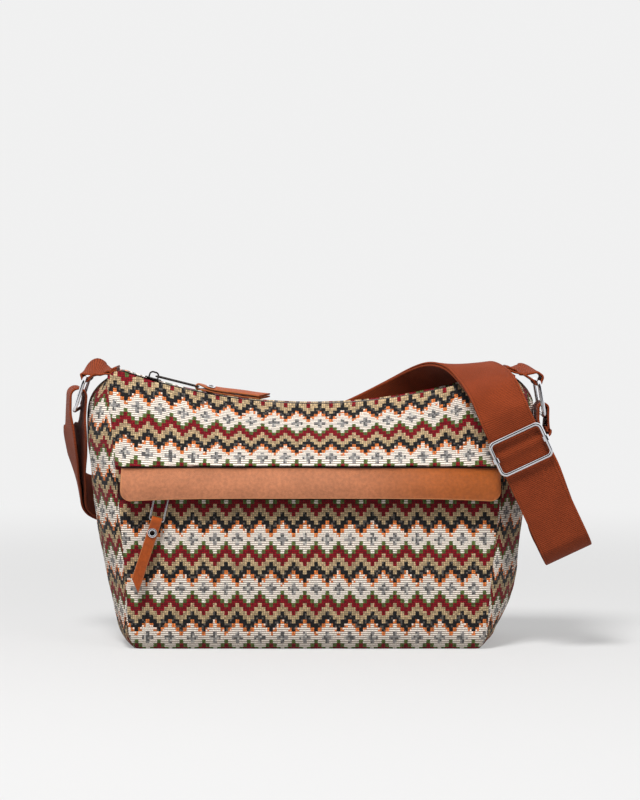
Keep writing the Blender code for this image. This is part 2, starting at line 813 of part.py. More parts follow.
def flap_bottom(x):
    """Height of the flap's lower edge: a shallow wave, with round corners at its ends."""
    share = (x - FLAP_LEFT) / (FLAP_RIGHT - FLAP_LEFT)
    wave = FLAP_BOTTOM - FLAP_END_DROP * (2 * share - 1) ** 4
    inward = min(x - FLAP_LEFT, FLAP_RIGHT - x)
    short = max(0.0, FLAP_CORNER - inward)
    return wave + FLAP_CORNER - math.sqrt(max(0.0, FLAP_CORNER**2 - short**2))


def build_flap(material, columns=30, rows=5):
    """The leather flap: sewn along its top edge, it stands off over the pocket's zip."""

    def along(i):
        share = i / columns
        eased = share - 0.07 * math.sin(2 * math.pi * share)
        return mix(FLAP_LEFT, FLAP_RIGHT, eased)

    def point(i, j, extra):
        x = along(i)
        z = mix(FLAP_TOP, flap_bottom(x), j / rows)
        off = FLAP_STANDOFF * min(1, max(0, (FLAP_TOP - FLAP_SEWN - z) / FLAP_RISE)) ** 0.75
        return Vector((x, pocket_wall_y(min(z, FLAP_LINE_HEIGHT)) - 2 * GAP - off - extra, z))

    return sheet_solid(
        "leather_flap",
        lambda i, j: point(i, j, FLAP_THICKNESS),
        lambda i, j: point(i, j, 0),
        columns,
        rows,
        material,
    )


# Rings, tabs and the strap


def ring_top(side):
    """The upper bar of a ring, beyond the bag's top corner."""
    out = RING_OUT_LEFT if side < 0 else RING_OUT_RIGHT
    fall = RING_FALL_LEFT if side < 0 else RING_FALL_RIGHT
    return Vector((side * (seam_reach(side, 2) + out), 0, rim_height(0 if side < 0 else 1) - fall))


def ring_bottom(side):
    return ring_top(side) + (RING_HANG_LEFT if side < 0 else RING_HANG_RIGHT)


def build_ring(name, side, material):
    """A rectangular wire ring whose long bars run front to back."""
    top = ring_top(side)
    bottom = ring_bottom(side)
    down = bottom - top
    middle = (top + bottom) / 2
    heading = down.normalized()
    points = []
    for a, b in rounded_rectangle(RING_HALF_WIDTH, down.length / 2, RING_CORNER, 4):
        points.append(middle + Vector((0, a, 0)) + heading * b)
    return wire(name, points, RING_WIRE_RADIUS, material)


def flat_stations(path, across):
    """Stations along a path that lies in a plane, with across at right angles to it."""
    stations = []
    for k, point in enumerate(path):
        before = path[max(k - 1, 0)]
        after = path[min(k + 1, len(path) - 1)]
        heading = (after - before).normalized()
        stations.append((point, across, across.cross(heading).normalized()))
    return stations


def build_tab(name, side, crest, rise, material):
    """A webbing tab: its two plies are sewn over the end of the zip and hold the ring."""
    seam = seam_reach(side, 2)
    lift = TAB_THICKNESS / 2 + CHAIN_HEIGHT + TAB_CLEARANCE
    start, middle, corner = [
        on_arc(along_arc(side * (seam - back)), 0, lift) for back in (TAB_SEAT, TAB_SEAT / 2, 0)
    ]
    hold = RING_WIRE_RADIUS + GAP + TAB_THICKNESS / 2
    ply = TAB_THICKNESS + GAP
    bar = ring_top(side)
    top = Vector((mix(corner.x, bar.x, crest), 0, max(corner.z, bar.z) + rise))
    near = bar + Vector((-side * hold, 0, 0))
    bridge = mix(corner, near, 0.5) + Vector((0, 0, rise * TAB_LOWER_SHARE))
    lower = smooth_path([start, middle, corner, bridge, near], 4)
    turn = []
    for k in range(1, 9):
        angle = math.pi * (1 + k / 8)
        turn.append(bar + Vector((side * hold * math.cos(angle), 0, hold * math.sin(angle))))
    far = turn[-1]
    upper_points = [far, far + Vector((0, 0, TAB_CURL)), top]
    for point, gap in ((corner, 2 * GAP), (middle, GAP), (start, GAP)):
        upper_points.append(point + Vector((0, 0, ply + gap)))
    upper = smooth_path(upper_points, 4)
    path = lower + turn[:-1] + upper
    return ribbon(name, flat_stations(path, Vector((0, 1, 0))), TAB_HALF_WIDTH, TAB_THICKNESS, material)


def smooth_path(points, steps):
    """A smooth curve through the points, with a number of steps between each two."""
    found = []
    count = len(points)
    for k in range(count - 1):
        p0 = points[max(k - 1, 0)]
        p1 = points[k]
        p2 = points[k + 1]
        p3 = points[min(k + 2, count - 1)]
        for step in range(steps):
            s = step / steps
            a = 2 * p1
            b = p2 - p0
            c = 2 * p0 - 5 * p1 + 4 * p2 - p3
            d = 3 * p1 - p0 - 3 * p2 + p3
            found.append((a + b * s + c * s * s + d * s**3) / 2)
    found.append(points[-1])
    return found


def gusset_reach(side, z):
    """How far the middle of a gusset lies from the middle of the bag at a height."""
    rim = rim_height(0 if side < 0 else 1)
    t = z / FLAP_LINE_HEIGHT
    if t > 1:
        t = 1 + (z - FLAP_LINE_HEIGHT) / (rim - FLAP_LINE_HEIGHT)
    return seam_reach(side, t) + gusset_bulge(side, t)


def beside(side, out, y, z):
    """A point off a gusset: out is its distance from the gusset's middle at that height."""
    return Vector((side * (gusset_reach(side, z) + out), y, z))


def over(x, y, rise):
    """A point above the top zip."""
    return Vector((x, y, zip_height(x) + rise))


def behind(x, out, z):
    """A point behind the bag's back."""
    return Vector((x, BASE_HALF_DEPTH + out, z))


def strap_up_right(side_line):
    """From the right ring's outer side down to the strap's fold, turning to face the front."""
    fold = STRAP_SLIDER_CENTRE + STRAP_DOWN * FOLD_DISTANCE + Vector((0, 2 * FOLD_RADIUS, 0))
    return [
        (side_line + Vector((0, 0, LOOP_RISE_RIGHT)), Vector((0, -1, 0))),
        (side_line + Vector((0, 0, -0.0040)), Vector((0, -1, 0))),
        (side_line + Vector((-0.0002, 0, -0.0130)), Vector((0.06, -0.99, 0))),
        (beside(1, 0.0058, -0.004, 0.143), Vector((0.14, -0.98, 0.08))),
        (beside(1, 0.0062, -0.012, 0.134), Vector((0.26, -0.95, 0.15))),
        (beside(1, 0.0108, -0.025, 0.119), Vector((0.54, -0.78, 0.30))),
        (beside(1, 0.0142, -0.033, 0.104), Vector((0.83, -0.44, 0.38))),
        (fold - STRAP_DOWN * 0.010, STRAP_ACROSS),
        (fold, STRAP_ACROSS),
    ]


def strap_over_top():
    """From the slider over the bag's top and down its back to the left gusset."""
    slider = STRAP_SLIDER_CENTRE
    return [
        (slider + Vector((-0.0130, 0.0025, 0.0289)), Vector((0.90, 0.03, 0.43))),
        (slider + Vector((-0.0184, 0.0140, 0.0420)), Vector((0.90, 0.16, 0.40))),
        (over(slider.x - 0.0250, -0.0290, 0.0050), Vector((0.90, 0.32, 0.30))),
        (over(slider.x - 0.0352, -0.0040, 0.0122), Vector((0.88, 0.42, 0.10))),
        (over(slider.x - 0.0522, 0.0190, 0.0112), Vector((0.80, 0.38, -0.38))),
        (behind(0.0700, -0.0080, 0.1750), Vector((0.62, 0.18, -0.75))),
        (behind(0.0350, 0.0060, 0.1560), Vector((0.48, 0.05, -0.88))),
        (behind(-0.0100, 0.0130, 0.1380), Vector((0.40, 0.00, -0.92))),
        (behind(-0.0600, 0.0160, 0.1170), Vector((0.34, 0.00, -0.94))),
        (beside(-1, -0.0510, BASE_HALF_DEPTH + 0.0140, 0.102), Vector((0.22, -0.10, -0.97))),
        (beside(-1, -0.0125, BASE_HALF_DEPTH + 0.0050, 0.097), Vector((0.10, -0.35, -0.93))),
        (beside(-1, 0.0095, BASE_HALF_DEPTH - 0.0130, 0.103), Vector((0.05, -0.70, -0.70))),
        (beside(-1, 0.0150, 0.0200, 0.120), Vector((0.18, -0.93, -0.30))),
        (beside(-1, 0.0148, 0.0080, 0.138), Vector((0.18, -0.97, -0.05))),
    ]


def strap_route():
    """The strap's middle line and width direction, from the right ring to the left one."""
    across = STRAP_ACROSS
    fold_start = STRAP_SLIDER_CENTRE + STRAP_DOWN * FOLD_DISTANCE
    route = strap_up_right(ring_bottom(1) + Vector((LOOP_OUT_RIGHT, 0, 0)))
    for k in range(1, 8):
        angle = math.pi * k / 8
        swing = Vector((0, FOLD_RADIUS * (1 + math.cos(angle)), 0))
        route.append((fold_start + swing + STRAP_DOWN * FOLD_RADIUS * math.sin(angle), across))
    for share in (1.0, 0.75, 0.5, 0.25, 0.0, -0.20, -0.34):
        route.append((STRAP_SLIDER_CENTRE + STRAP_DOWN * FOLD_DISTANCE * share, across))
    route += strap_over_top()
    left_side = ring_bottom(-1) + Vector((-LOOP_OUT_LEFT, 0, 0))
    route += [
        (left_side + Vector((0.0004, 0, -0.0170)), Vector((0.10, -0.99, 0))),
        (left_side + Vector((0, 0, -0.0040)), Vector((0, -1, 0))),
        (left_side + Vector((0.0004, 0, LOOP_RISE_LEFT)), Vector((0, -1, 0))),
    ]
    return route


def framed(centres, acrosses):
    """Stations for a strip: across is squared to the path, and the normal to both."""
    stations = []
    for k, centre in enumerate(centres):
        before = centres[max(k - 1, 0)]
        after = centres[min(k + 1, len(centres) - 1)]
        heading = (after - before).normalized()
        across = acrosses[k] - heading * acrosses[k].dot(heading)
        across.normalize()
        stations.append((centre, across, across.cross(heading).normalized()))
    return stations


def loop_round(bar, across, heading, normal, radius, steps=8):
    """The strap's turn round a ring's bar, from its outer side over the bar to its inner one."""
    found = []
    for k in range(1, steps):
        angle = math.pi * k / steps
        found.append(bar + normal * radius * math.cos(angle) + heading * radius * math.sin(angle))
    return [(point, across) for point in found]


def strap_layers():
    """All stations of the strap: the sewn loop at the right ring, the outer run, the turn
    round the left ring, and the inner run back to the slider."""
    route = strap_route()
    centres = smooth_path([place for place, _ in route], 4)
    acrosses = smooth_path([across for _, across in route], 4)
    run = framed(centres, acrosses)
    room = LOOP_ROOM_LEFT / 2
    layer = WEB_THICKNESS + LAYER_GAP
    last = run[-1]
    first_back = slider_station(run)
    back = []
    total = len(run)
    for k in range(total - 1, first_back - 1, -1):
        centre, across, normal = run[k]
        near_ring = max(0.0, 1 - (total - 1 - k) / LOOP_BLEND_STATIONS)
        apart = mix(layer, LOOP_ROOM_LEFT, near_ring * near_ring * (3 - 2 * near_ring))
        back.append((centre - normal * apart, across))
    turn_centre = last[0] - last[2] * room
    heading = last[2].cross(last[1]).normalized()
    turn = loop_round(turn_centre, last[1], heading, last[2], room)
    start = run[0]
    room = LOOP_ROOM_RIGHT / 2
    right_turn = loop_round(start[0] - start[2] * room, start[1], Vector((0, 0, 1)), start[2], room)
    sewn = []
    for k in range(6):
        centre, across, normal = run[2 * k]
        sewn.append((centre - normal * mix(LOOP_ROOM_RIGHT, layer, max(0, k - 2) / 3), across))
    centres = [place for place, _ in reversed(sewn)]
    acrosses = [across for _, across in reversed(sewn)]
    centres += [place for place, _ in reversed(right_turn)]
    acrosses += [across for _, across in right_turn]
    centres += [place for place, _, _ in run] + [place for place, _ in turn] + [place for place, _ in back]
    acrosses += [across for _, across, _ in run] + [across for _, across in turn]
    acrosses += [across for _, across in back]
    return framed(centres, acrosses)


def slider_station(run):
    """Index of the first station above the sewn end of the inner layer."""
    limit = END_LOOP_TAIL + GAP
    for k, (centre, _, _) in enumerate(run):
        above = (STRAP_SLIDER_CENTRE - centre).dot(STRAP_DOWN)
        if above > limit and abs(centre.y - STRAP_SLIDER_CENTRE.y) < 0.03 and centre.x > 0.1:
            return k
    return 0


def slider_point(across, down, out):
    """A point in the strap slider's own axes."""
    return (
        STRAP_SLIDER_CENTRE
        + STRAP_ACROSS * across
        + STRAP_DOWN * down
        + STRAP_OUT * out
    )


def eye_radius():
    """Outer radius of the bar's eyes, round the frame's wire."""
    return FRAME_WIRE_RADIUS + GAP + EYE_WALL


def frame_out():
    """How far the slider's frame lies in front of the strap's middle, so that its eyes clear it."""
    return WEB_THICKNESS / 2 + GAP + eye_radius()


def bar_out():
    """The centre bar lies behind the strap and one ply of the sewn end."""
    return -(1.5 * WEB_THICKNESS + 2 * GAP + BAR_THICKNESS / 2 + GAP)


def build_slider_frame(material):
    points = []
    for a, b in rounded_rectangle(FRAME_HALF_WIDTH, FRAME_HALF_HEIGHT, FRAME_CORNER, 5):
        points.append(slider_point(a, b, frame_out()))
    return wire("strap_slider_frame", points, FRAME_WIRE_RADIUS, material)


def build_slider_bar(material):
    """The floating centre bar, with an eye round each short side of the frame."""
    out = bar_out()
    half = BAR_THICKNESS / 2
    arm = WEB_HALF_WIDTH + 2 * GAP
    eye = eye_radius()
    edge = FRAME_HALF_WIDTH + eye * 0.7
    front = frame_out()
    outline = [(-edge, out + half), (-edge + half, out - half), (edge - half, out - half)]
    outline += [(edge, out + half), (edge, front), (arm, front), (arm, out + half)]
    outline += [(-arm, out + half), (-arm, front), (-edge, front)]

    def flat(a, b, c):
        return Vector((a, c, b))

    bar = prism("strap_slider_bar", outline, -BAR_HALF_HEIGHT, BAR_HALF_HEIGHT, flat, material)
    for side in (-1, 1):
        ring = arc((side * FRAME_HALF_WIDTH, front), eye, 0, 345, 23)
        knuckle = prism("knuckle", ring, -BAR_HALF_HEIGHT, BAR_HALF_HEIGHT, flat, material)
        combine(bar, knuckle, "UNION")
    for side in (-1, 1):
        bore = arc((side * FRAME_HALF_WIDTH, front), FRAME_WIRE_RADIUS + GAP, 0, 340, 17)
        cutter = prism("bore", bore, -4 * BAR_HALF_HEIGHT, 4 * BAR_HALF_HEIGHT, flat, material)
        combine(bar, cutter, "DIFFERENCE")
    return reshape(bar, slider_point)


def build_end_loop(material):
    """The sewn end of the webbing: one ply behind the strap, round the bar and back on itself."""
    first_ply = -(WEB_THICKNESS + GAP)
    centre = bar_out()
    radius = first_ply - centre
    path = []
    for k in range(7):
        path.append((-END_LOOP_TAIL + (END_LOOP_TAIL - BAR_HALF_HEIGHT) * k / 6 * 0.98, first_ply))
    for point in arc((BAR_HALF_HEIGHT * 0.55, centre), radius, 90, -90, 8):
        path.append(point)
    second_ply = first_ply - WEB_THICKNESS - GAP
    for k in range(1, 7):
        share = k / 6
        eased = share * share * (3 - 2 * share)
        depth = mix(centre - radius, second_ply, min(1, eased * 1.6))
        path.append((-BAR_HALF_HEIGHT - 0.018 * share, min(second_ply, depth)))
    points = [slider_point(0, down, out) for down, out in path]
    stations = flat_stations(points, STRAP_ACROSS)
    return ribbon("strap_end_loop", stations, WEB_HALF_WIDTH - 0.0003, WEB_THICKNESS, material)


def main():
    clear_scene()
    cloth = finish("woven_cloth", (0.55, 0.42, 0.32), 0.85)
    fields = (CREAM, RED, BEIGE, CREAM, BLACK, RED)
    pattern_in_zigzags(cloth, fields)
    lining = finish("lining_cloth", (0.10, 0.07, 0.05), 0.9)
    leather = finish("tan_leather", (0.55, 0.22, 0.08), 0.45)
    webbing = finish("rust_webbing", (0.30, 0.075, 0.025), 0.8)
    tape = finish("zip_tape", (0.03, 0.02, 0.018), 0.85)
    metal = finish("polished_metal", (0.70, 0.70, 0.72), 0.15, 1.0)
    zip_metal = finish("dark_zip_metal", (0.25, 0.23, 0.22), 0.3, 1.0)

    pocket_low = (POCKET_ZIP_HEIGHT - POCKET_TAPE_HALF_HEIGHT) / FLAP_LINE_HEIGHT
    pocket_high = (POCKET_ZIP_HEIGHT + POCKET_TAPE_HALF_HEIGHT) / FLAP_LINE_HEIGHT
    build_face("front_pocket_panel", -1, 0, pocket_low, 10, cloth)
    build_face("front_upper_panel", -1, pocket_high, 2, 8, cloth)
    build_face("back_panel", 1, 0, 2, 16, cloth)
    build_gusset("side_gusset_left", -1, cloth)
    build_gusset("side_gusset_right", 1, cloth)
    build_base(cloth)
    build_pocket_lining(lining)

    build_main_tape("main_zip_tape_front", -1, tape)
    build_main_tape("main_zip_tape_back", 1, tape)
    build_main_chain(zip_metal)
    build_zip_stop("zip_stop_left", -1, zip_metal)
    build_zip_stop("zip_stop_right", 1, zip_metal)
    build_slider("main_slider", main_slider_place, True, zip_metal)
    build_pull_wire("main_pull_wire", MAIN_WIRE_LENGTH, main_pull_place, metal)
    build_pull_leather(
        "main_pull_leather", MAIN_WIRE_LENGTH, MAIN_TAIL_LENGTH, main_pull_place, leather
    )
    build_snap("main_pull_snap", MAIN_WIRE_LENGTH + SNAP_FROM_FOLD, main_pull_place, metal)

    build_pocket_tape(tape)
    build_pocket_chain(zip_metal)
    build_slider("pocket_slider", pocket_slider_place, False, zip_metal)
    build_pull_wire("pocket_pull_wire", POCKET_WIRE_LENGTH, pocket_pull_place, metal)
    build_pull_leather(
        "pocket_pull_leather", POCKET_WIRE_LENGTH, POCKET_TAIL_LENGTH, pocket_tail_place, leather
    )
    build_snap("pocket_pull_snap", POCKET_WIRE_LENGTH + SNAP_FROM_FOLD, pocket_tail_place, metal)
    build_flap(leather)

    build_ring("ring_left", -1, metal)
    build_ring("ring_right", 1, metal)
    build_tab("tab_left", -1, TAB_CREST_LEFT, TAB_RISE_LEFT, webbing)
    build_tab("tab_right", 1, TAB_CREST_RIGHT, TAB_RISE_RIGHT, webbing)
    ribbon("shoulder_strap", strap_layers(), WEB_HALF_WIDTH, WEB_THICKNESS, webbing)
    build_slider_frame(metal)
    build_slider_bar(metal)
    build_end_loop(webbing)


main()
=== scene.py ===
"""The looks of a patterned crossbody bag: woven cloth, leather, webbing, zips and metal fittings."""

import math

import bmesh
import bpy
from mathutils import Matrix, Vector, noise


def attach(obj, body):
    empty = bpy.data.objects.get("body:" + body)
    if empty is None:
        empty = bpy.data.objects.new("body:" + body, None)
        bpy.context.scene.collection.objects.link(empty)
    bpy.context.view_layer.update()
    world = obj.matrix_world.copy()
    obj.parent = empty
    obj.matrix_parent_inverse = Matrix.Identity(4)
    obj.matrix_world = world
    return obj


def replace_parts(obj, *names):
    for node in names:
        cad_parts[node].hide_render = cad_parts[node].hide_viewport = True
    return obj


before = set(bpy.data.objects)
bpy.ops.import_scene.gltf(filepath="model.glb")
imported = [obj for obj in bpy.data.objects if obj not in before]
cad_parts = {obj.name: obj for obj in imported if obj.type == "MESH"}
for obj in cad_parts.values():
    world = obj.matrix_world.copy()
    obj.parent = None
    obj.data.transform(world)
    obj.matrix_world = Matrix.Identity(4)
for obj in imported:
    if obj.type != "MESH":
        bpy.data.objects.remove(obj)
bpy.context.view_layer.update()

bpy.ops.object.select_all(action="DESELECT")

# Camera. The bag is seen straight on from a little above, with a long lens, so that the
# front stands almost undistorted and the zip shows as a line along the top.
CAMERA_PLACE = (0.0087, -1.8, 0.27)
CAMERA_PITCH = math.radians(3.0)
CAMERA_LENS = 111.2

bpy.ops.object.camera_add(location=CAMERA_PLACE)
camera = bpy.context.object
camera.rotation_euler = (math.radians(90) - CAMERA_PITCH, 0, 0)
camera.data.lens = CAMERA_LENS
camera.data.sensor_width = 36
bpy.context.scene.camera = camera
bpy.context.scene.view_settings.view_transform = "Standard"

# Floor and light. A seamless pale sweep, a soft box high in front, a weaker one at the right
# and an even surround, which is dark behind the camera so that metal has dark cores.
FLOOR_SHADE = (0.43, 0.428, 0.426)
FLOOR_LIFT = 0.34
PALE = (0.875, 0.875, 0.875, 1)
DARK_ROOM = (0.02, 0.02, 0.022, 1)
WORLD_STRENGTH = 0.26
MIRROR_GAIN = 0.5
DARK_ROOM_EDGE = (0.42, 0.56)
SWEEP_NEAR = 0.30
SWEEP_FAR = 1.10


def new_material(name):
    """A node material with its tree and its Principled shader."""
    made = bpy.data.materials.new(name)
    made.use_nodes = True
    return made, made.node_tree, made.node_tree.nodes["Principled BSDF"]


def paint(piece, material):
    piece.data.materials.clear()
    piece.data.materials.append(material)


def maths(tree, operation, *terms):
    """One Math node on sockets or plain numbers."""
    node = tree.nodes.new("ShaderNodeMath")
    node.operation = operation
    for socket, term in zip(node.inputs, terms):
        if isinstance(term, (int, float)):
            socket.default_value = term
        else:
            tree.links.new(term, socket)
    return node.outputs[0]


def times(tree, first, second):
    return maths(tree, "MULTIPLY", first, second)


def plus(tree, first, second):
    return maths(tree, "ADD", first, second)


def minus(tree, first, second):
    return maths(tree, "SUBTRACT", first, second)


def spread(tree, value, low, high, to_low=0.0, to_high=1.0):
    """A value's range turned smoothly into another."""
    node = tree.nodes.new("ShaderNodeMapRange")
    node.interpolation_type = "SMOOTHSTEP"
    tree.links.new(value, node.inputs["Value"])
    node.inputs["From Min"].default_value = low
    node.inputs["From Max"].default_value = high
    node.inputs["To Min"].default_value = to_low
    node.inputs["To Max"].default_value = to_high
    return node.outputs["Result"]


floor_material, tree, shader = new_material("pale_sweep")
shader.inputs["Base Color"].default_value = (*FLOOR_SHADE, 1)
shader.inputs["Roughness"].default_value = 0.9
shader.inputs["Emission Color"].default_value = (1, 1, 1, 1)
rays = tree.nodes.new("ShaderNodeLightPath")
watched = plus(tree, rays.outputs["Is Camera Ray"], rays.outputs["Is Glossy Ray"])
tree.links.new(times(tree, watched, FLOOR_LIFT), shader.inputs["Emission Strength"])
spot = tree.nodes.new("ShaderNodeTexCoord")
reach = tree.nodes.new("ShaderNodeVectorMath")
reach.operation = "LENGTH"
tree.links.new(spot.outputs["Object"], reach.inputs[0])
far_out = spread(tree, reach.outputs["Value"], SWEEP_NEAR, SWEEP_FAR)
plain_pale = tree.nodes.new("ShaderNodeEmission")
plain_pale.inputs["Color"].default_value = PALE
sweep = tree.nodes.new("ShaderNodeMixShader")
tree.links.new(times(tree, far_out, watched), sweep.inputs[0])
tree.links.new(shader.outputs[0], sweep.inputs[1])
tree.links.new(plain_pale.outputs[0], sweep.inputs[2])
tree.links.new(sweep.outputs[0], tree.nodes["Material Output"].inputs["Surface"])

bpy.ops.mesh.primitive_plane_add(size=1, location=(0, 0, 0))
floor = bpy.context.object
floor.name = "floor_sweep"
bpy.ops.object.mode_set(mode="EDIT")
bpy.ops.mesh.select_all(action="SELECT")
bpy.ops.transform.resize(value=(12, 12, 1))
bpy.ops.object.mode_set(mode="OBJECT")
paint(floor, floor_material)

world = bpy.data.worlds.new("studio")
world.use_nodes = True
bpy.context.scene.world = world
tree = world.node_tree
surround = tree.nodes["Background"]
surround.inputs["Color"].default_value = (1, 1, 1, 1)
surround.inputs["Strength"].default_value = WORLD_STRENGTH
rays = tree.nodes.new("ShaderNodeLightPath")
watched = plus(tree, rays.outputs["Is Camera Ray"], rays.outputs["Is Glossy Ray"])
watched = plus(tree, watched, rays.outputs["Is Transmission Ray"])
heading = tree.nodes.new("ShaderNodeTexCoord")
split = tree.nodes.new("ShaderNodeSeparateXYZ")
tree.links.new(heading.outputs["Generated"], split.inputs[0])
behind_camera = spread(tree, times(tree, split.outputs["Y"], -1.0), *DARK_ROOM_EDGE)
mirrored = minus(tree, 1.0, rays.outputs["Is Camera Ray"])
room = tree.nodes.new("ShaderNodeMix")
room.data_type = "RGBA"
tree.links.new(times(tree, behind_camera, mirrored), room.inputs["Factor"])
room.inputs["A"].default_value = PALE
room.inputs["B"].default_value = DARK_ROOM
seen = tree.nodes.new("ShaderNodeBackground")
tree.links.new(room.outputs["Result"], seen.inputs["Color"])
tree.links.new(maths(tree, "MULTIPLY_ADD", mirrored, MIRROR_GAIN, 1.0), seen.inputs["Strength"])
either = tree.nodes.new("ShaderNodeMixShader")
tree.links.new(maths(tree, "MINIMUM", watched, 1.0), either.inputs[0])
tree.links.new(surround.outputs[0], either.inputs[1])
tree.links.new(seen.outputs[0], either.inputs[2])
tree.links.new(either.outputs[0], tree.nodes["World Output"].inputs[0])


def soft_box(name, place, aim, size, power):
    bpy.ops.object.light_add(type="AREA", location=place)
    lamp = bpy.context.object
    lamp.name = name
    lamp.rotation_euler = (Vector(aim) - Vector(place)).to_track_quat("-Z", "Y").to_euler()
    lamp.data.shape = "RECTANGLE"
    lamp.data.size = size[0]
    lamp.data.size_y = size[1]
    lamp.data.energy = power
    lamp.visible_glossy = False


soft_box("key_box", (-0.45, -1.05, 2.0), (0, 0, 0.1), (0.7, 0.6), 48)
soft_box("fill_box", (1.5, -1.4, 0.9), (0, 0, 0.1), (0.9, 1.2), 8)

# Cloth of the body. A stout jacquard: rows of cream diamonds with grey crosses between
# zigzags of black, beige and red, edged in orange and green. Every cell of the design is two
# weft ribs high. The panels are cut from it and sewn inside out, so their seams lie in grooves.
CLOTH_THICKNESS = 0.0016
CELL_WIDTH = 0.00267
CELL_HEIGHT = 0.00293
BAND_ROWS = 12.0
BAND_SHIFT = 3.0
DIAMOND_COLUMNS = 6.0
CROSS_LINE = 4.0
CREAM = (237, 229, 217)
TAN_LINE = (138, 86, 58)
GREEN = (96, 114, 60)
RED = (132, 16, 28)
BEIGE = (196, 169, 130)
BLACK = (30, 29, 31)
ORANGE = (238, 134, 70)
GREY = (143, 139, 136)
FLECK = (112, 104, 96)
CROSS_DARK = (92, 90, 89)
FIRST_BLACK = 4.5
FIRST_ORANGE = 6.5
YARNS = (
    (-1.5, CREAM), (-0.5, GREEN), (0.5, RED), (2.5, BEIGE), (FIRST_BLACK, BLACK), (FIRST_ORANGE, ORANGE)
)


def shade(red, green, blue):
    """A colour as the eye reads it, 0 to 255, turned into the linear one that a shader takes."""
    found = []
    for part in (red, green, blue):
        share = part / 255
        found.append(share / 12.92 if share <= 0.04045 else ((share + 0.055) / 1.055) ** 2.4)
    return (*found, 1)


def mix(a, b, share):
    return a + (b - a) * share


def colour_mix(tree, factor, first, second, kind="MIX"):
    """Two colours, given as sockets or values, mixed by a factor."""
    node = tree.nodes.new("ShaderNodeMix")
    node.data_type = "RGBA"
    node.blend_type = kind
    for key, term in (("Factor", factor), ("A", first), ("B", second)):
        socket = node.inputs[key]
        if hasattr(term, "links"):
            tree.links.new(term, socket)
        else:
            socket.default_value = term
    return node.outputs["Result"]


def toned(tree, colour, tone):
    """A colour made lighter or darker by a number."""
    grey = tree.nodes.new("ShaderNodeCombineColor")
    for socket in grey.inputs[:3]:
        tree.links.new(tone, socket)
    return colour_mix(tree, 1.0, colour, grey.outputs[0], "MULTIPLY")


def speckle(tree, vector, scale, detail=2.0):
    node = tree.nodes.new("ShaderNodeTexNoise")
    node.inputs["Scale"].default_value = scale
    node.inputs["Detail"].default_value = detail
    tree.links.new(vector, node.inputs["Vector"])
    return node.outputs["Fac"]


def ridges(tree, value, rate):
    """Rounded ridges, 0 to 1, that follow each other along a value."""
    return maths(tree, "ABSOLUTE", maths(tree, "SINE", times(tree, value, rate)))


def relief(tree, shader, height, strength, distance):
    """Bump from a height."""
    node = tree.nodes.new("ShaderNodeBump")
    node.inputs["Strength"].default_value = strength
    node.inputs["Distance"].default_value = distance
    tree.links.new(height, node.inputs["Height"])
    tree.links.new(node.outputs[0], shader.inputs["Normal"])


def surface_map(tree, name):
    """The two coordinates of a piece's own UV map."""
    node = tree.nodes.new("ShaderNodeUVMap")
    node.uv_map = name
    split = tree.nodes.new("ShaderNodeSeparateXYZ")
    tree.links.new(node.outputs[0], split.inputs[0])
    return node.outputs[0], split.outputs["X"], split.outputs["Y"]


def yarn_in_cell(tree, line, from_cross):
    """Which yarn shows in a cell: -1 is cream, and the rows outwards from it are counted up to 7."""
    above = minus(tree, line, from_cross)
    below = minus(tree, plus(tree, line, from_cross), 2 * CROSS_LINE)
    is_above = maths(tree, "LESS_THAN", above, 0.5)
    upper_part = times(tree, is_above, plus(tree, above, 7.0))
    lower_part = times(tree, minus(tree, 1.0, is_above), maths(tree, "MAXIMUM", below, -1.0))
    return plus(tree, upper_part, lower_part)


def yarn_colours(tree, yarn):
    ramp = tree.nodes.new("ShaderNodeValToRGB")
    ramp.color_ramp.interpolation = "CONSTANT"
    while len(ramp.color_ramp.elements) < len(YARNS):
        ramp.color_ramp.elements.new(0.5)
    for stop, (first_row, colour) in zip(ramp.color_ramp.elements, YARNS):
        stop.position = (first_row + 1.5) / 9
        stop.color = shade(*colour)
    tree.links.new(maths(tree, "DIVIDE", plus(tree, yarn, 1.5), 9.0), ramp.inputs["Fac"])
    return ramp.outputs["Color"]


def luck_of_knot(tree, across, down):
    """A number from 0 to 1 for each knot, of which a cell has two each way."""
    knot = tree.nodes.new("ShaderNodeCombineXYZ")
    tree.links.new(maths(tree, "FLOOR", times(tree, across, 2.0)), knot.inputs[0])
    tree.links.new(maths(tree, "FLOOR", times(tree, down, 2.0)), knot.inputs[1])
    chance = tree.nodes.new("ShaderNodeTexWhiteNoise")
    chance.noise_dimensions = "2D"
    tree.links.new(knot.outputs[0], chance.inputs["Vector"])
    return chance.outputs["Value"]


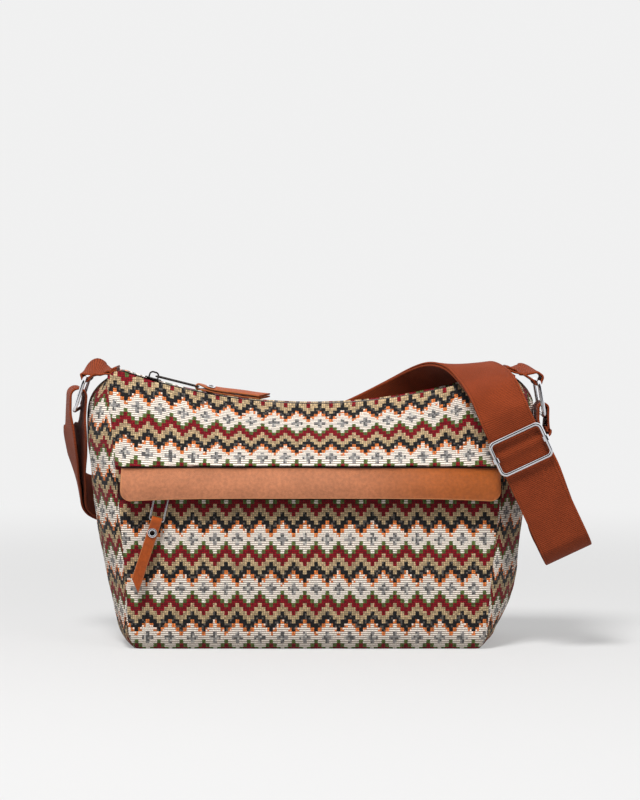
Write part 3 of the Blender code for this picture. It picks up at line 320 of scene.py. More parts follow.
def jacquard():
    """The woven design, on a map whose unit is one cell, counted right and down."""
    material, tree, shader = new_material("patterned_jacquard")
    place, across, down = surface_map(tree, "weave")
    fray = minus(tree, speckle(tree, place, 1.7), 0.5)
    fray_too = minus(tree, speckle(tree, place, 2.3), 0.5)
    column = maths(tree, "FLOOR", plus(tree, across, times(tree, fray, 0.46)))
    row = maths(tree, "FLOOR", plus(tree, down, times(tree, fray_too, 0.34)))
    band = maths(tree, "FLOOR", maths(tree, "DIVIDE", row, BAND_ROWS))
    line = minus(tree, row, times(tree, band, BAND_ROWS))
    shifted = plus(tree, column, times(tree, band, BAND_SHIFT))
    in_diamond = maths(tree, "FLOORED_MODULO", shifted, DIAMOND_COLUMNS)
    from_cross = maths(tree, "ABSOLUTE", minus(tree, in_diamond, DIAMOND_COLUMNS / 2))
    yarn = yarn_in_cell(tree, line, from_cross)
    is_cream = maths(tree, "LESS_THAN", yarn, -0.5)
    is_coloured = minus(tree, 1.0, is_cream)
    arm = plus(tree, maths(tree, "ABSOLUTE", minus(tree, line, CROSS_LINE)), from_cross)
    is_cross = times(tree, is_cream, maths(tree, "LESS_THAN", arm, 1.5))
    ribs = ridges(tree, down, 2 * math.pi)
    ends = ridges(tree, across, 2 * math.pi)
    flat_rib = maths(tree, "SQRT", ribs)
    knots = times(tree, flat_rib, maths(tree, "SQRT", ends))
    height = plus(tree, times(tree, flat_rib, is_cream), times(tree, knots, is_coloured))
    luck = luck_of_knot(tree, across, down)
    stray = times(tree, maths(tree, "GREATER_THAN", luck, 0.80), 0.5)
    orange_part = maths(tree, "GREATER_THAN", yarn, FIRST_ORANGE)
    pale_knot = times(tree, times(tree, stray, orange_part), 1.5)
    colour = colour_mix(tree, pale_knot, yarn_colours(tree, yarn), shade(*CREAM))
    black_part = minus(tree, maths(tree, "GREATER_THAN", yarn, FIRST_BLACK), orange_part)
    colour = colour_mix(tree, times(tree, stray, black_part), colour, shade(*FLECK))
    dark_knot = maths(tree, "LESS_THAN", luck, 0.30)
    cross_tone = colour_mix(tree, dark_knot, shade(*GREY), shade(*CROSS_DARK))
    cross_tone = colour_mix(tree, stray, cross_tone, shade(*CREAM))
    colour = colour_mix(tree, is_cross, colour, cross_tone)
    plain_cream = minus(tree, is_cream, is_cross)
    tan_line = times(tree, plain_cream, spread(tree, ribs, 0.70, 0.28))
    colour = colour_mix(tree, times(tree, tan_line, 0.85), colour, shade(*TAN_LINE))
    # Each coloured knot takes a random tone. The colour is also painted darker in the hollows between knots
    # and ribs, down to about a third (a half on cream), as painted shade, and a little lighter on their
    # crests, as a painted highlight.
    uneven = times(tree, spread(tree, luck, 0.0, 1.0, 0.70, 1.24), is_coloured)
    uneven = plus(tree, uneven, is_cream)
    groove_shade = plus(tree, times(tree, is_cream, 0.16), 0.34)
    lift = times(tree, minus(tree, 1.13, groove_shade), spread(tree, height, 0.0, 0.85))
    depth = times(tree, plus(tree, groove_shade, lift), uneven)
    yarn_tone = spread(tree, speckle(tree, place, 3.1, 4.0), 0.25, 0.75, 0.78, 1.20)
    colour = toned(tree, colour, times(tree, depth, yarn_tone))
    tree.links.new(colour, shader.inputs["Base Color"])
    shader.inputs["Roughness"].default_value = 0.88
    shader.inputs["Specular IOR Level"].default_value = 0.25
    shader.inputs["Sheen Weight"].default_value = 0.08
    shader.inputs["Sheen Roughness"].default_value = 0.6
    fuzz = times(tree, speckle(tree, place, 6.0, 4.0), 0.5)
    relief(tree, shader, plus(tree, height, fuzz), 0.75, 0.0006)
    return material


def pick(piece):
    """Makes a piece the only one selected, and the active one."""
    bpy.ops.object.select_all(action="DESELECT")
    piece.select_set(True)
    bpy.context.view_layer.objects.active = piece


def settle(piece, kind, **settings):
    """Adds a modifier with its settings and applies it."""
    step = piece.modifiers.new(kind.lower(), kind)
    for key, value in settings.items():
        setattr(step, key, value)
    pick(piece)
    bpy.ops.object.modifier_apply(modifier=step.name)


def shaped_sheet(name, columns, rows, place, map_name=None, on_map=None):
    """A grid whose points are put in place by their two shares, 0 to 1, with its own map."""
    bpy.ops.mesh.primitive_grid_add(x_subdivisions=columns, y_subdivisions=rows, size=2)
    sheet = bpy.context.object
    sheet.name = name
    sheet.data.name = name
    shares = [((p.co.x + 1) / 2, (p.co.y + 1) / 2) for p in sheet.data.vertices]
    if map_name:
        sheet.data.uv_layers[0].name = map_name
        layer = sheet.data.uv_layers[map_name]
        for loop in sheet.data.loops:
            layer.data[loop.index].uv = on_map(*shares[loop.vertex_index])
    for point, share in zip(sheet.data.vertices, shares):
        point.co = place(*share)
    return sheet


def thicken(sheet, thickness, edge=0.0, offset=-1.0, angle=50):
    """Gives a sheet its thickness and softens its edges."""
    settle(sheet, "SOLIDIFY", thickness=thickness, offset=offset, use_even_offset=False)
    if edge:
        limit = math.radians(angle)
        settle(sheet, "BEVEL", width=edge, segments=2, limit_method="ANGLE", angle_limit=limit)
    bpy.ops.object.shade_smooth_by_angle(angle=math.radians(angle))


# Shape of the body, the same as the solid one's: a boxy shell that narrows towards a zip
# which sags along a circular arc, with gussets that bulge out of their seams.
BASE_HALF_LENGTH = 0.1275
BASE_HALF_DEPTH = 0.050
FLAP_LINE_HALF_DEPTH = 0.042
TOP_HALF_DEPTH = 0.016
FLAP_LINE_HEIGHT = 0.130
FRONT_BELLY = 0.003
BELLY_TOP = 0.8
UPPER_LEAN = 1.35
FLARE = {-1: 0.0160, 1: 0.0205}
FLARE_HEIGHT = 0.180
FLARE_POWER = 1.4
BULGE = 0.0215
BULGE_AT_FLOOR = {-1: 0.0075, 1: 0.0030}
BULGE_RISE = {-1: 0.110, 1: 0.055}
SHOULDER_POWER = 10
CORNER_TUCK = 0.005
TUCK_HEIGHT = 0.012
WALL = 0.0020
GAP = 0.0003
ZIP_RADIUS = 0.410
ZIP_LOW_HEIGHT = 0.1725
ZIP_CENTRE_X = 0.0035
ZIP_HALF_LENGTH = 0.1475
END_BEND = 0.0125
END_DROP = 0.0070
POCKET_ZIP_HEIGHT = 0.1130
POCKET_TAPE_HALF_HEIGHT = 0.0062
SEAM_DEPTH = 0.0016
SEAM_WIDTH = 0.0022


def end_drop(x):
    """How far the zip and the cloth beside it bend down over the bag's top corners."""
    beyond = abs(x - ZIP_CENTRE_X) - (ZIP_HALF_LENGTH - END_BEND)
    return END_DROP * (max(0.0, beyond) / END_BEND) ** 2


def zip_height(x):
    arc_height = ZIP_LOW_HEIGHT + ZIP_RADIUS - math.sqrt(ZIP_RADIUS**2 - (x - ZIP_CENTRE_X) ** 2)
    return arc_height - end_drop(x)


def on_arc(along, y, rise):
    """A point by its distance along the top zip from its lowest place, and its rise above it."""
    angle = along / ZIP_RADIUS
    radius = ZIP_RADIUS - rise
    x = ZIP_CENTRE_X + radius * math.sin(angle)
    return Vector((x, y, ZIP_LOW_HEIGHT + ZIP_RADIUS - radius * math.cos(angle) - end_drop(x)))


def along_arc(x):
    return ZIP_RADIUS * math.asin((x - ZIP_CENTRE_X) / ZIP_RADIUS)


def wall_height(u, t):
    """Height of row t: t = 1 is the level flap line, and t = 2 is the top edge."""
    if t <= 1:
        return t * FLAP_LINE_HEIGHT
    return mix(FLAP_LINE_HEIGHT, zip_height(ZIP_CENTRE_X + ZIP_HALF_LENGTH * (2 * u - 1)), t - 1)


def tuck(z):
    return CORNER_TUCK * max(0.0, 1 - z / TUCK_HEIGHT) ** 2


def half_depth(t):
    if t <= 1:
        depth = mix(BASE_HALF_DEPTH, FLAP_LINE_HALF_DEPTH, t * t)
    else:
        depth = mix(FLAP_LINE_HALF_DEPTH, TOP_HALF_DEPTH, (t - 1) ** UPPER_LEAN)
    return depth - tuck(t * FLAP_LINE_HEIGHT)


def seam_reach(side, t):
    """How far the seam of the left (-1) or right (1) end stands from the bag's middle."""
    z = wall_height(0 if side < 0 else 1, t)
    return BASE_HALF_LENGTH + FLARE[side] * (z / FLARE_HEIGHT) ** FLARE_POWER - tuck(z)


def face_point(front, u, t, inset=0.0):
    """A point of the front (-1) or back (1) wall, at share u from the left, inset from its face."""
    belly = FRONT_BELLY * (1 - (2 * u - 1) ** 2) * math.sin(math.pi * min(t / BELLY_TOP, 1))
    left = -(seam_reach(-1, t) - inset)
    right = seam_reach(1, t) - inset
    return Vector((mix(left, right, u), front * (half_depth(t) - inset + belly), wall_height(u, t)))


def gusset_point(side, w, t, inset=0.0):
    """A point of a side gusset, from its front seam at w = -1 to its back seam at w = 1."""
    z = wall_height(0 if side < 0 else 1, t)
    full = mix(BULGE_AT_FLOOR[side], BULGE, 1 - (1 - min(1, z / BULGE_RISE[side])) ** 2)
    full *= 1 - (t / 2) ** SHOULDER_POWER
    swell = max(0.0, 1 - abs(w) ** 2.2) ** 0.8
    x = side * (seam_reach(side, t) + full * swell - inset)
    return Vector((x, w * (half_depth(t) - inset), z))


def soft(x, z, seed, size):
    """A slow wave of the cloth, between about -1 and 1."""
    return noise.noise(Vector((x / size, z / size, seed))) * 1.6


def seam_groove(distance):
    return SEAM_DEPTH * math.exp(-((distance / SEAM_WIDTH) ** 2))


FLAP_TOP = 0.1305
FOLD_START = FLAP_TOP + 0.0003
FOLD_HEIGHT = 0.0046
FOLD_FADE = 0.0065
SLOW_WAVE = 0.0011
SMALL_WAVE = 0.0005
RIM_ROLL = 0.0010
RIM_RISE = 0.0013


def fold_over_flap(z):
    """The upper cloth is turned under above the flap, and its fold stands over the leather's edge."""
    above = z - FOLD_START
    if above < 0:
        return -0.0006
    return FOLD_HEIGHT * math.exp(-((above / FOLD_FADE) ** 1.3)) * min(1, above / 0.0010 + 0.80)


def cloth_face(name, front, low, high, rows, on_map, seed, columns=110, fold=None):
    """One panel of the front or back, with soft waves and grooves at its side seams."""

    def share_of(u, t):
        return (u if front < 0 else 1 - u), mix(low, high, t)

    def place(u, t):
        side, level = share_of(u, t)
        point = face_point(front, side, level)
        from_seam = min(side, 1 - side) * (seam_reach(-1, level) + seam_reach(1, level))
        groove = seam_groove(from_seam)
        wave = soft(point.x, point.z * 1.4, seed, 0.055) * SLOW_WAVE
        wave += soft(point.x, point.z * 0.5, seed + 7, 0.020) * SMALL_WAVE
        firm = min(1, from_seam / 0.010)
        roll = RIM_ROLL * max(0, (level - 1.955) / 0.045) ** 2
        if fold:
            groove -= fold(point.z) * min(1, from_seam / 0.006)
        point.y -= front * (groove + abs(wave) * firm + roll)
        point.z += RIM_RISE * max(0, (level - 1.93) / 0.07) ** 2
        return point

    def weave(u, t):
        side, level = share_of(u, t)
        return on_map(face_point(front, side, level))

    sheet = shaped_sheet(name, columns, rows, place, "weave", weave)
    thicken(sheet, CLOTH_THICKNESS)
    paint(sheet, cloth)
    return sheet


ODD_BAND_CROSS = (0.5, 40.5)
EVEN_BAND_CROSS = (3.5, 28.5)
POCKET_CROSS_AT = (-0.0982, 0.0790)
UPPER_CROSS_AT = (-0.0981, 0.137)
UPPER_CELL_WIDTH = 0.002733
SECOND_ROW_HEIGHT = 0.160
ROW_FOLLOWS_ZIP = 0.70
ROW_LAGS_FROM = 0.0105
ROW_LAG = 0.6
FIRST_ROW_CURL = 0.0036
BACK_COLUMN = 1.5
BACK_CROSS_AT = (0.1020, 0.0850)


def lower_map(point):
    """The pocket panel's cut, which puts a cross at POCKET_CROSS_AT."""
    column, row = ODD_BAND_CROSS
    x, z = POCKET_CROSS_AT
    return (column + (point.x - x) / CELL_WIDTH, row + (z - point.z) / CELL_HEIGHT)


def upper_map(point):
    """The upper panel's cut: an almost level row of crosses, and the next row follows the zip."""
    column, row = EVEN_BAND_CROSS
    x, z = UPPER_CROSS_AT
    from_middle = point.x - ZIP_CENTRE_X
    rise = ROW_FOLLOWS_ZIP * (ZIP_RADIUS - math.sqrt(ZIP_RADIUS**2 - from_middle**2))
    second_row = SECOND_ROW_HEIGHT + rise - ROW_LAG * max(0.0, rise - ROW_LAGS_FROM)
    first_row = z + FIRST_ROW_CURL * (abs(from_middle) / 0.135) ** 4
    if point.z > first_row:
        down = row - BAND_ROWS * (point.z - first_row) / (second_row - first_row)
    else:
        down = row + (first_row - point.z) / CELL_HEIGHT
    return (column + (point.x - x) / UPPER_CELL_WIDTH, down)


def back_map(point):
    x, z = BACK_CROSS_AT
    return (BACK_COLUMN + (x - point.x) / CELL_WIDTH, ODD_BAND_CROSS[1] + (z - point.z) / CELL_HEIGHT)


cloth = jacquard()
pocket_low = (POCKET_ZIP_HEIGHT - POCKET_TAPE_HALF_HEIGHT) / FLAP_LINE_HEIGHT
pocket_high = (POCKET_ZIP_HEIGHT + POCKET_TAPE_HALF_HEIGHT) / FLAP_LINE_HEIGHT

front_lower = cloth_face("pocket_cloth", -1, 0, pocket_low, 50, lower_map, 3.1)
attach(front_lower, "root")
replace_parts(front_lower, "front_pocket_panel")

front_upper = cloth_face("upper_cloth", -1, pocket_high, 2, 88, upper_map, 8.4, 120, fold_over_flap)
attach(front_upper, "root")
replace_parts(front_upper, "front_upper_panel")

back_cloth = cloth_face("back_cloth", 1, 0, 2, 90, back_map, 14.2)
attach(back_cloth, "root")
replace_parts(back_cloth, "back_panel")

# Side gussets. One piece of the same cloth at each end, cut the other way up, so the orange
# edges point down. It swells out of its two seams and is pinched to a point at the zip's end.
GUSSET_CROSS_HEIGHT = 0.0976
GUSSET_WAVE = 0.0016


def gusset_cloth(name, side, seed, columns=44, rows=80):
    def place(u, t):
        w = side * math.sin(math.pi * (u - 0.5))
        point = gusset_point(side, w, 2 * t)
        firm = min(1, (1 - abs(w)) / 0.25)
        wave = abs(soft(point.y * 1.3, point.z, seed, 0.030)) * GUSSET_WAVE * firm
        groove = seam_groove((1 - abs(w)) * half_depth(2 * t))
        point.x -= side * wave
        if abs(w) > 0.5:
            point.y -= math.copysign(groove, w)
        return point

    def weave(u, t):
        around = (u - 0.5) * (2 * half_depth(2 * t) + BULGE * 0.9)
        z = wall_height(0 if side < 0 else 1, 2 * t)
        row = ODD_BAND_CROSS[1] + (z - GUSSET_CROSS_HEIGHT) / CELL_HEIGHT
        return (around / CELL_WIDTH + EVEN_BAND_CROSS[0], row)

    sheet = shaped_sheet(name, columns, rows, place, "weave", weave)
    thicken(sheet, CLOTH_THICKNESS)
    paint(sheet, cloth)
    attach(sheet, "root")
    return sheet


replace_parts(gusset_cloth("gusset_cloth_left", -1, 21.0), "side_gusset_left")
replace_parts(gusset_cloth("gusset_cloth_right", 1, 27.0), "side_gusset_right")

# Base. A flat panel of the same cloth over a stiffener, sewn in between the walls.
BASE_THICKNESS = 0.003
BASE_EDGE_STEPS = 96


def base_edge(share):
    """A point on the base's outline, which fits inside the walls."""
    inset = WALL + GAP
    turn = share * 4
    if turn < 1:
        return face_point(-1, turn, 0, inset)
    if turn < 2:
        return gusset_point(1, math.sin(math.pi * (turn - 1.5)), 0, inset)
    if turn < 3:
        return face_point(1, 3 - turn, 0, inset)
    return gusset_point(-1, -math.sin(math.pi * (turn - 3.5)), 0, inset)


bpy.ops.mesh.primitive_circle_add(vertices=BASE_EDGE_STEPS, radius=1, fill_type="NGON")
base = bpy.context.object
base.name = "base_cloth"
for k, point in enumerate(base.data.vertices):
    edge = base_edge(k / BASE_EDGE_STEPS)
    point.co = (edge.x, edge.y, 0)
bpy.ops.object.mode_set(mode="EDIT")
bpy.ops.mesh.select_all(action="SELECT")
bpy.ops.mesh.extrude_region_move(TRANSFORM_OT_translate={"value": (0, 0, BASE_THICKNESS)})
bpy.ops.mesh.select_all(action="SELECT")
bpy.ops.mesh.normals_make_consistent(inside=False)
bpy.ops.object.mode_set(mode="OBJECT")
settle(base, "BEVEL", width=0.0007, segments=2, limit_method="ANGLE", angle_limit=math.radians(50))
base.data.uv_layers[0].name = "weave"
for loop in base.data.loops:
    point = base.data.vertices[loop.vertex_index].co
    base.data.uv_layers["weave"].data[loop.index].uv = (point.x / CELL_WIDTH, point.y / CELL_HEIGHT)
paint(base, cloth)
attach(base, "root")
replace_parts(base, "base_panel")

# Pocket lining. A thin dark twill that forms the pocket's inner wall behind the front.
LINING_THICKNESS = 0.0008
LINING_TURNS_OUT = 0.84
LINING_TOP = 1.03
POCKET_DEPTH = 0.008


def in_space(tree):
    """The coordinates of a point in the piece's own space."""
    spot = tree.nodes.new("ShaderNodeTexCoord")
    split = tree.nodes.new("ShaderNodeSeparateXYZ")
    tree.links.new(spot.outputs["Object"], split.inputs[0])
    return split.outputs


def lining_twill():
    material, tree, shader = new_material("dark_lining_twill")
    axes = in_space(tree)
    twill = ridges(tree, plus(tree, axes["X"], axes["Z"]), 4500.0)
    # Painted shade: the twill's colour is darker in the hollows between its ridges.
    colour = colour_mix(tree, twill, shade(38, 28, 24), shade(66, 50, 42))
    tree.links.new(colour, shader.inputs["Base Color"])
    shader.inputs["Roughness"].default_value = 0.9
    relief(tree, shader, twill, 0.4, 0.0002)
    return material


def lining_point(u, t):
    low = (BASE_THICKNESS + GAP) / FLAP_LINE_HEIGHT
    level = mix(low, LINING_TOP, t)
    meets = max(0.0, (level - LINING_TURNS_OUT) / (LINING_TOP - LINING_TURNS_OUT))
    inset = mix(POCKET_DEPTH, WALL + GAP, min(1, meets) ** 1.2)
    y = -(half_depth(level) - inset)
    w = y / (half_depth(level) - WALL)
    room_at_ends = 0.0008 + 0.0030 * max(0.0, 1 - level * FLAP_LINE_HEIGHT / 0.020)
    ends = [gusset_point(side, w, level, WALL).x - side * room_at_ends for side in (-1, 1)]
    return Vector((mix(ends[0], ends[1], u), y, wall_height(0.5, level)))


lining = shaped_sheet("pocket_lining_cloth", 60, 36, lining_point)
thicken(lining, LINING_THICKNESS)
paint(lining, lining_twill())
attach(lining, "root")
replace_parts(lining, "pocket_lining")

# Zip tapes. Dark ribbed tape woven with a fine herringbone, sewn under the cloth's edges.
CHAIN_HALF_WIDTH = 0.0024
CHAIN_HEIGHT = 0.0012
TAPE_THICKNESS = 0.0010
STOP_LENGTH = 0.0030
TAPE_RIB_PITCH = 0.0007
TAPE_ZIGZAG = 0.0009


def tape_weave():
    material, tree, shader = new_material("dark_zip_tape")
    _, across, along = surface_map(tree, "tape")
    zigzag = maths(tree, "PINGPONG", across, TAPE_ZIGZAG)
    rib = maths(tree, "SINE", times(tree, plus(tree, along, zigzag), 2 * math.pi / TAPE_RIB_PITCH))
    height = times(tree, plus(tree, rib, 1.0), 0.5)
    # Painted shade: the tape's colour is darker in the hollows between its ribs.
    colour = colour_mix(tree, height, shade(30, 18, 17), shade(64, 38, 32))
    tree.links.new(colour, shader.inputs["Base Color"])
    shader.inputs["Roughness"].default_value = 0.8
    relief(tree, shader, height, 0.5, 0.0002)
    return material


def zip_end(side):
    return side * (seam_reach(side, 2) - WALL - 2 * GAP)


tape_material = tape_weave()
tape_start = along_arc(zip_end(-1))
tape_end = along_arc(zip_end(1))


def top_tape(name, front, node):
    inner = CHAIN_HALF_WIDTH + GAP
    outer = TOP_HALF_DEPTH - WALL - GAP

    def place(u, t):
        share = 1 - u if front > 0 else u
        return on_arc(mix(tape_start, tape_end, share), front * mix(outer, inner, t), 0)

    def on_map(u, t):
        return (mix(outer, inner, t), mix(tape_start, tape_end, u))

    tape = shaped_sheet(name, 120, 6, place, "tape", on_map)
    thicken(tape, TAPE_THICKNESS)
    paint(tape, tape_material)
    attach(tape, "root")
    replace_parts(tape, node)


top_tape("top_zip_tape_front", -1, "main_zip_tape_front")
top_tape("top_zip_tape_back", 1, "main_zip_tape_back")


def pocket_tape_point(u, t):
    low = pocket_low + GAP / FLAP_LINE_HEIGHT
    high = pocket_high - GAP / FLAP_LINE_HEIGHT
    return face_point(-1, mix(0.004, 0.996, u), mix(low, high, t))


def pocket_tape_map(u, t):
    return (0.012 * t, 0.26 * u)


pocket_tape = shaped_sheet("front_zip_tape", 80, 8, pocket_tape_point, "tape", pocket_tape_map)
thicken(pocket_tape, TAPE_THICKNESS)
paint(pocket_tape, tape_material)
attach(pocket_tape, "root")
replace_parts(pocket_tape, "pocket_zip_tape")

# Zip chains. Small moulded metal teeth, set left and right in turn on the tapes' corded edges.
# The top chain bends along the sagging arc, and the pocket's runs straight under the flap.
TOOTH_PITCH = 0.0021
TOOTH_SIZE = (0.0013, 0.0026, CHAIN_HEIGHT + 0.0006)
TOOTH_OFFSET = 0.0009
TOOTH_RISE = (CHAIN_HEIGHT - 0.0006) / 2
POCKET_CHAIN_ENDS = (-0.118, 0.122)
POCKET_CHAIN_LOW = 0.0046


def burnished(name, colour, roughness, bumpy=0.15, fineness=900.0):
    """Metal with a little unevenness in its gloss."""
    material, tree, shader = new_material(name)
    spot = tree.nodes.new("ShaderNodeTexCoord")
    worn = speckle(tree, spot.outputs["Object"], fineness, 3.0)
    tone = spread(tree, worn, 0.3, 0.7, 0.86, 1.08)
    tree.links.new(toned(tree, colour, tone), shader.inputs["Base Color"])
    gloss = spread(tree, worn, 0.3, 0.7, roughness * 0.8, roughness * 1.3)
    tree.links.new(gloss, shader.inputs["Roughness"])
    shader.inputs["Metallic"].default_value = 1.0
    if bumpy:
        relief(tree, shader, worn, bumpy, 0.00004)
    return material


dark_metal = burnished("dark_zip_metal", shade(120, 112, 106), 0.30)
chrome = burnished("polished_chrome", shade(216, 216, 220), 0.16, 0.0, 40.0)


def block(name, size, edge, segments):
    """A small block of metal with softened edges."""
    bpy.ops.mesh.primitive_cube_add(size=1)
    made = bpy.context.object
    made.name = name
    bpy.ops.object.mode_set(mode="EDIT")
    bpy.ops.mesh.select_all(action="SELECT")
    bpy.ops.transform.resize(value=size)
    bpy.ops.object.mode_set(mode="OBJECT")
    settle(made, "BEVEL", width=edge, segments=segments, limit_method="NONE")
    return made


def added(name, data):
    made = bpy.data.objects.new(name, data)
    bpy.context.collection.objects.link(made)
    return made


def repeat(name, pattern, places):
    """Copies of one small form as one mesh. Each place is a function that sets its points."""
    form = bmesh.new()
    form.from_mesh(pattern.data)
    bpy.data.objects.remove(pattern)
    whole = bmesh.new()
    for place in places:
        made = {}
        for point in form.verts:
            made[point.index] = whole.verts.new(place(point.co))
        for face in form.faces:
            whole.faces.new([made[point.index] for point in face.verts])
    mesh = bpy.data.meshes.new(name)
    whole.to_mesh(mesh)
    whole.free()
    form.free()
    return added(name, mesh)


def chain_teeth(name, start, end, put, node, material):
    count = int((end - start) / TOOTH_PITCH)
    places = []
    for k in range(2 * count):
        along = start + (k + 0.5) * (end - start) / (2 * count)
        side = 1 if k % 2 else -1

        def place(point, along=along, side=side):
            return put(along + point.x, point.y + side * TOOTH_OFFSET, point.z + TOOTH_RISE)

        places.append(place)
    teeth = repeat(name, block("tooth", TOOTH_SIZE, 0.0003, 1), places)
    paint(teeth, material)
    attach(teeth, "root")
    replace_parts(teeth, node)


room_at_stop = STOP_LENGTH + 2 * GAP
top_ends = (tape_start + room_at_stop, tape_end - room_at_stop)
chain_teeth("top_zip_teeth", *top_ends, on_arc, "main_zip_chain", dark_metal)


def on_pocket_zip(along, across, rise):
    """A point on the pocket's zip, which stands as far out as the wall a little below it."""
    y = -half_depth((POCKET_ZIP_HEIGHT - POCKET_CHAIN_LOW) / FLAP_LINE_HEIGHT)
    return Vector((along, y - rise, POCKET_ZIP_HEIGHT + across))


chain_teeth("front_zip_teeth", *POCKET_CHAIN_ENDS, on_pocket_zip, "pocket_zip_chain", dark_metal)

# Zip stops. A folded metal clip closes the chain at each end of the top zip. It reaches
# through the tapes and stands as high as the chain.
STOP_SIZE = (STOP_LENGTH, 2 * CHAIN_HALF_WIDTH, CHAIN_HEIGHT + TAPE_THICKNESS)
STOP_RISE = (CHAIN_HEIGHT - TAPE_THICKNESS) / 2


def zip_stop(name, side, node):
    middle = along_arc(zip_end(side)) - side * (GAP + STOP_LENGTH / 2)
    stop = block(name, STOP_SIZE, 0.0005, 3)
    for point in stop.data.vertices:
        point.co = on_arc(middle + point.co.x, point.co.y, point.co.z + STOP_RISE)
    bpy.ops.object.shade_smooth_by_angle(angle=math.radians(40))
    paint(stop, dark_metal)
    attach(stop, "root")
    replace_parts(stop, node)


zip_stop("top_stop_left", -1, "zip_stop_left")
zip_stop("top_stop_right", 1, "zip_stop_right")

# Sliders. A cast plate whose sides wrap the teeth, with a bail above that holds the pull. The
# top zip's is dark, with its bail along the zip, and the pocket's bail stands across it.
SLIDER_LENGTH = 0.0120
SLIDER_HALF_WIDTH = 0.0046
SLIDER_PLATE = 0.0010
SLIDER_NOSE = 0.0024
SLIDER_TAPER = 0.0008
SLIDER_GROOVE = 0.0028
BITE = 0.0004
BAIL_LENGTH = 0.0078
BAIL_HEIGHT = 0.0048
BAIL_WIRE = 0.0012
BAIL_BEND = 0.0023
MAIN_SLIDER_X = -0.1135
POCKET_SLIDER_X = -0.1035


def arc_points(centre, radius, start, end, steps):
    """Points (a, b) on a circle from one angle to another, in degrees."""
    found = []
    for k in range(steps + 1):
        angle = math.radians(mix(start, end, k / steps))
        found.append((centre[0] + radius * math.cos(angle), centre[1] + radius * math.sin(angle)))
    return found


def rounded_rectangle(half_a, half_b, corner, steps=8):
    found = []
    for side_a, side_b, start in ((1, 1, 0), (-1, 1, 90), (-1, -1, 180), (1, -1, 270)):
        centre = (side_a * (half_a - corner), side_b * (half_b - corner))
        found += arc_points(centre, corner, start, start + 90, steps)
    return found


def extruded(name, outline, low, high, edge):
    """A plate cut to an outline of (x, y) pairs, between two heights, with softened edges."""
    count = len(outline)
    points = [(x, y, low) for x, y in outline] + [(x, y, high) for x, y in outline]
    faces = [tuple(reversed(range(count))), tuple(range(count, 2 * count))]
    for k in range(count):
        after = (k + 1) % count
        faces.append((k, after, count + after, count + k))
    mesh = bpy.data.meshes.new(name)
    mesh.from_pydata(points, [], faces)
    made = added(name, mesh)
    settle(made, "BEVEL", width=edge, segments=3, limit_method="ANGLE", angle_limit=math.radians(50))
    return made


def round_wire(name, points, radius, closed):
    """Wire swept through the points and turned into a mesh."""
    path = bpy.data.curves.new(name, "CURVE")
    path.dimensions = "3D"
    path.bevel_depth = radius
    path.bevel_resolution = 5
    path.use_fill_caps = True
    spline = path.splines.new("POLY")
    spline.points.add(len(points) - 1)
    for place, point in zip(spline.points, points):
        place.co = (*point, 1)
    spline.use_cyclic_u = closed
    pick(added(name, path))
    bpy.ops.object.convert(target="MESH")
    bpy.ops.object.shade_smooth()
    return bpy.context.object


def joined(name, pieces):
    bpy.ops.object.select_all(action="DESELECT")
    for piece in pieces:
        piece.select_set(True)
    bpy.context.view_layer.objects.active = pieces[0]
    bpy.ops.object.join()
    pieces[0].name = name
    return pieces[0]


def slider_top():
    return CHAIN_HEIGHT + GAP + SLIDER_PLATE


def zip_slider(name, place, bail_along, body, material):
    half = SLIDER_LENGTH / 2
    wide = SLIDER_HALF_WIDTH
    low = CHAIN_HEIGHT + GAP
    outline = arc_points((-half + SLIDER_NOSE, -wide + SLIDER_NOSE), SLIDER_NOSE, 180, 270, 5)
    outline += [(half - SLIDER_NOSE, -wide + SLIDER_TAPER), (half, -wide + SLIDER_NOSE)]
    outline += [(half, wide - SLIDER_NOSE), (half - SLIDER_NOSE, wide - SLIDER_TAPER)]
    outline += arc_points((-half + SLIDER_NOSE, wide - SLIDER_NOSE), SLIDER_NOSE, 90, 180, 5)
    pieces = [extruded(name, outline, low, slider_top(), 0.0003)]
    for side in (-1, 1):
        near, far = sorted((side * SLIDER_GROOVE, side * (wide - 0.0001)))
        rail = [(-half + SLIDER_NOSE, near), (half - SLIDER_NOSE, near)]
        rail += [(half - SLIDER_NOSE, far), (-half + SLIDER_NOSE, far)]
        pieces.append(extruded("rail", rail, GAP, low + BITE, 0.0002))
    reach = (BAIL_LENGTH - BAIL_WIRE) / 2
    crown = slider_top() + BAIL_HEIGHT - BAIL_WIRE / 2
    arch = [(reach, slider_top() - BITE)]
    arch += arc_points((reach - BAIL_BEND, crown - BAIL_BEND), BAIL_BEND, 0, 90, 8)
    arch += arc_points((-reach + BAIL_BEND, crown - BAIL_BEND), BAIL_BEND, 90, 180, 8)
    arch += [(-reach, slider_top() - BITE)]
    bail = [Vector((a, 0, c)) if bail_along else Vector((0, a, c)) for a, c in arch]
    pieces.append(round_wire("bail", bail, BAIL_WIRE / 2, False))
    made = joined(name, pieces)
    for point in made.data.vertices:
        point.co = place(*point.co)
    bpy.ops.object.shade_smooth_by_angle(angle=math.radians(45))
    paint(made, material)
    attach(made, body)
    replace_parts(made, body)


def main_slider_place(a, b, c):
    return on_arc(along_arc(MAIN_SLIDER_X) + a, b, c)


def pocket_slider_place(a, b, c):
    return on_pocket_zip(POCKET_SLIDER_X + a, b, c)


blackened = burnished("blackened_metal", shade(74, 66, 62), 0.24)
zip_slider("top_slider", main_slider_place, True, "main_slider", blackened)
zip_slider("front_slider", pocket_slider_place, False, "pocket_slider", blackened)

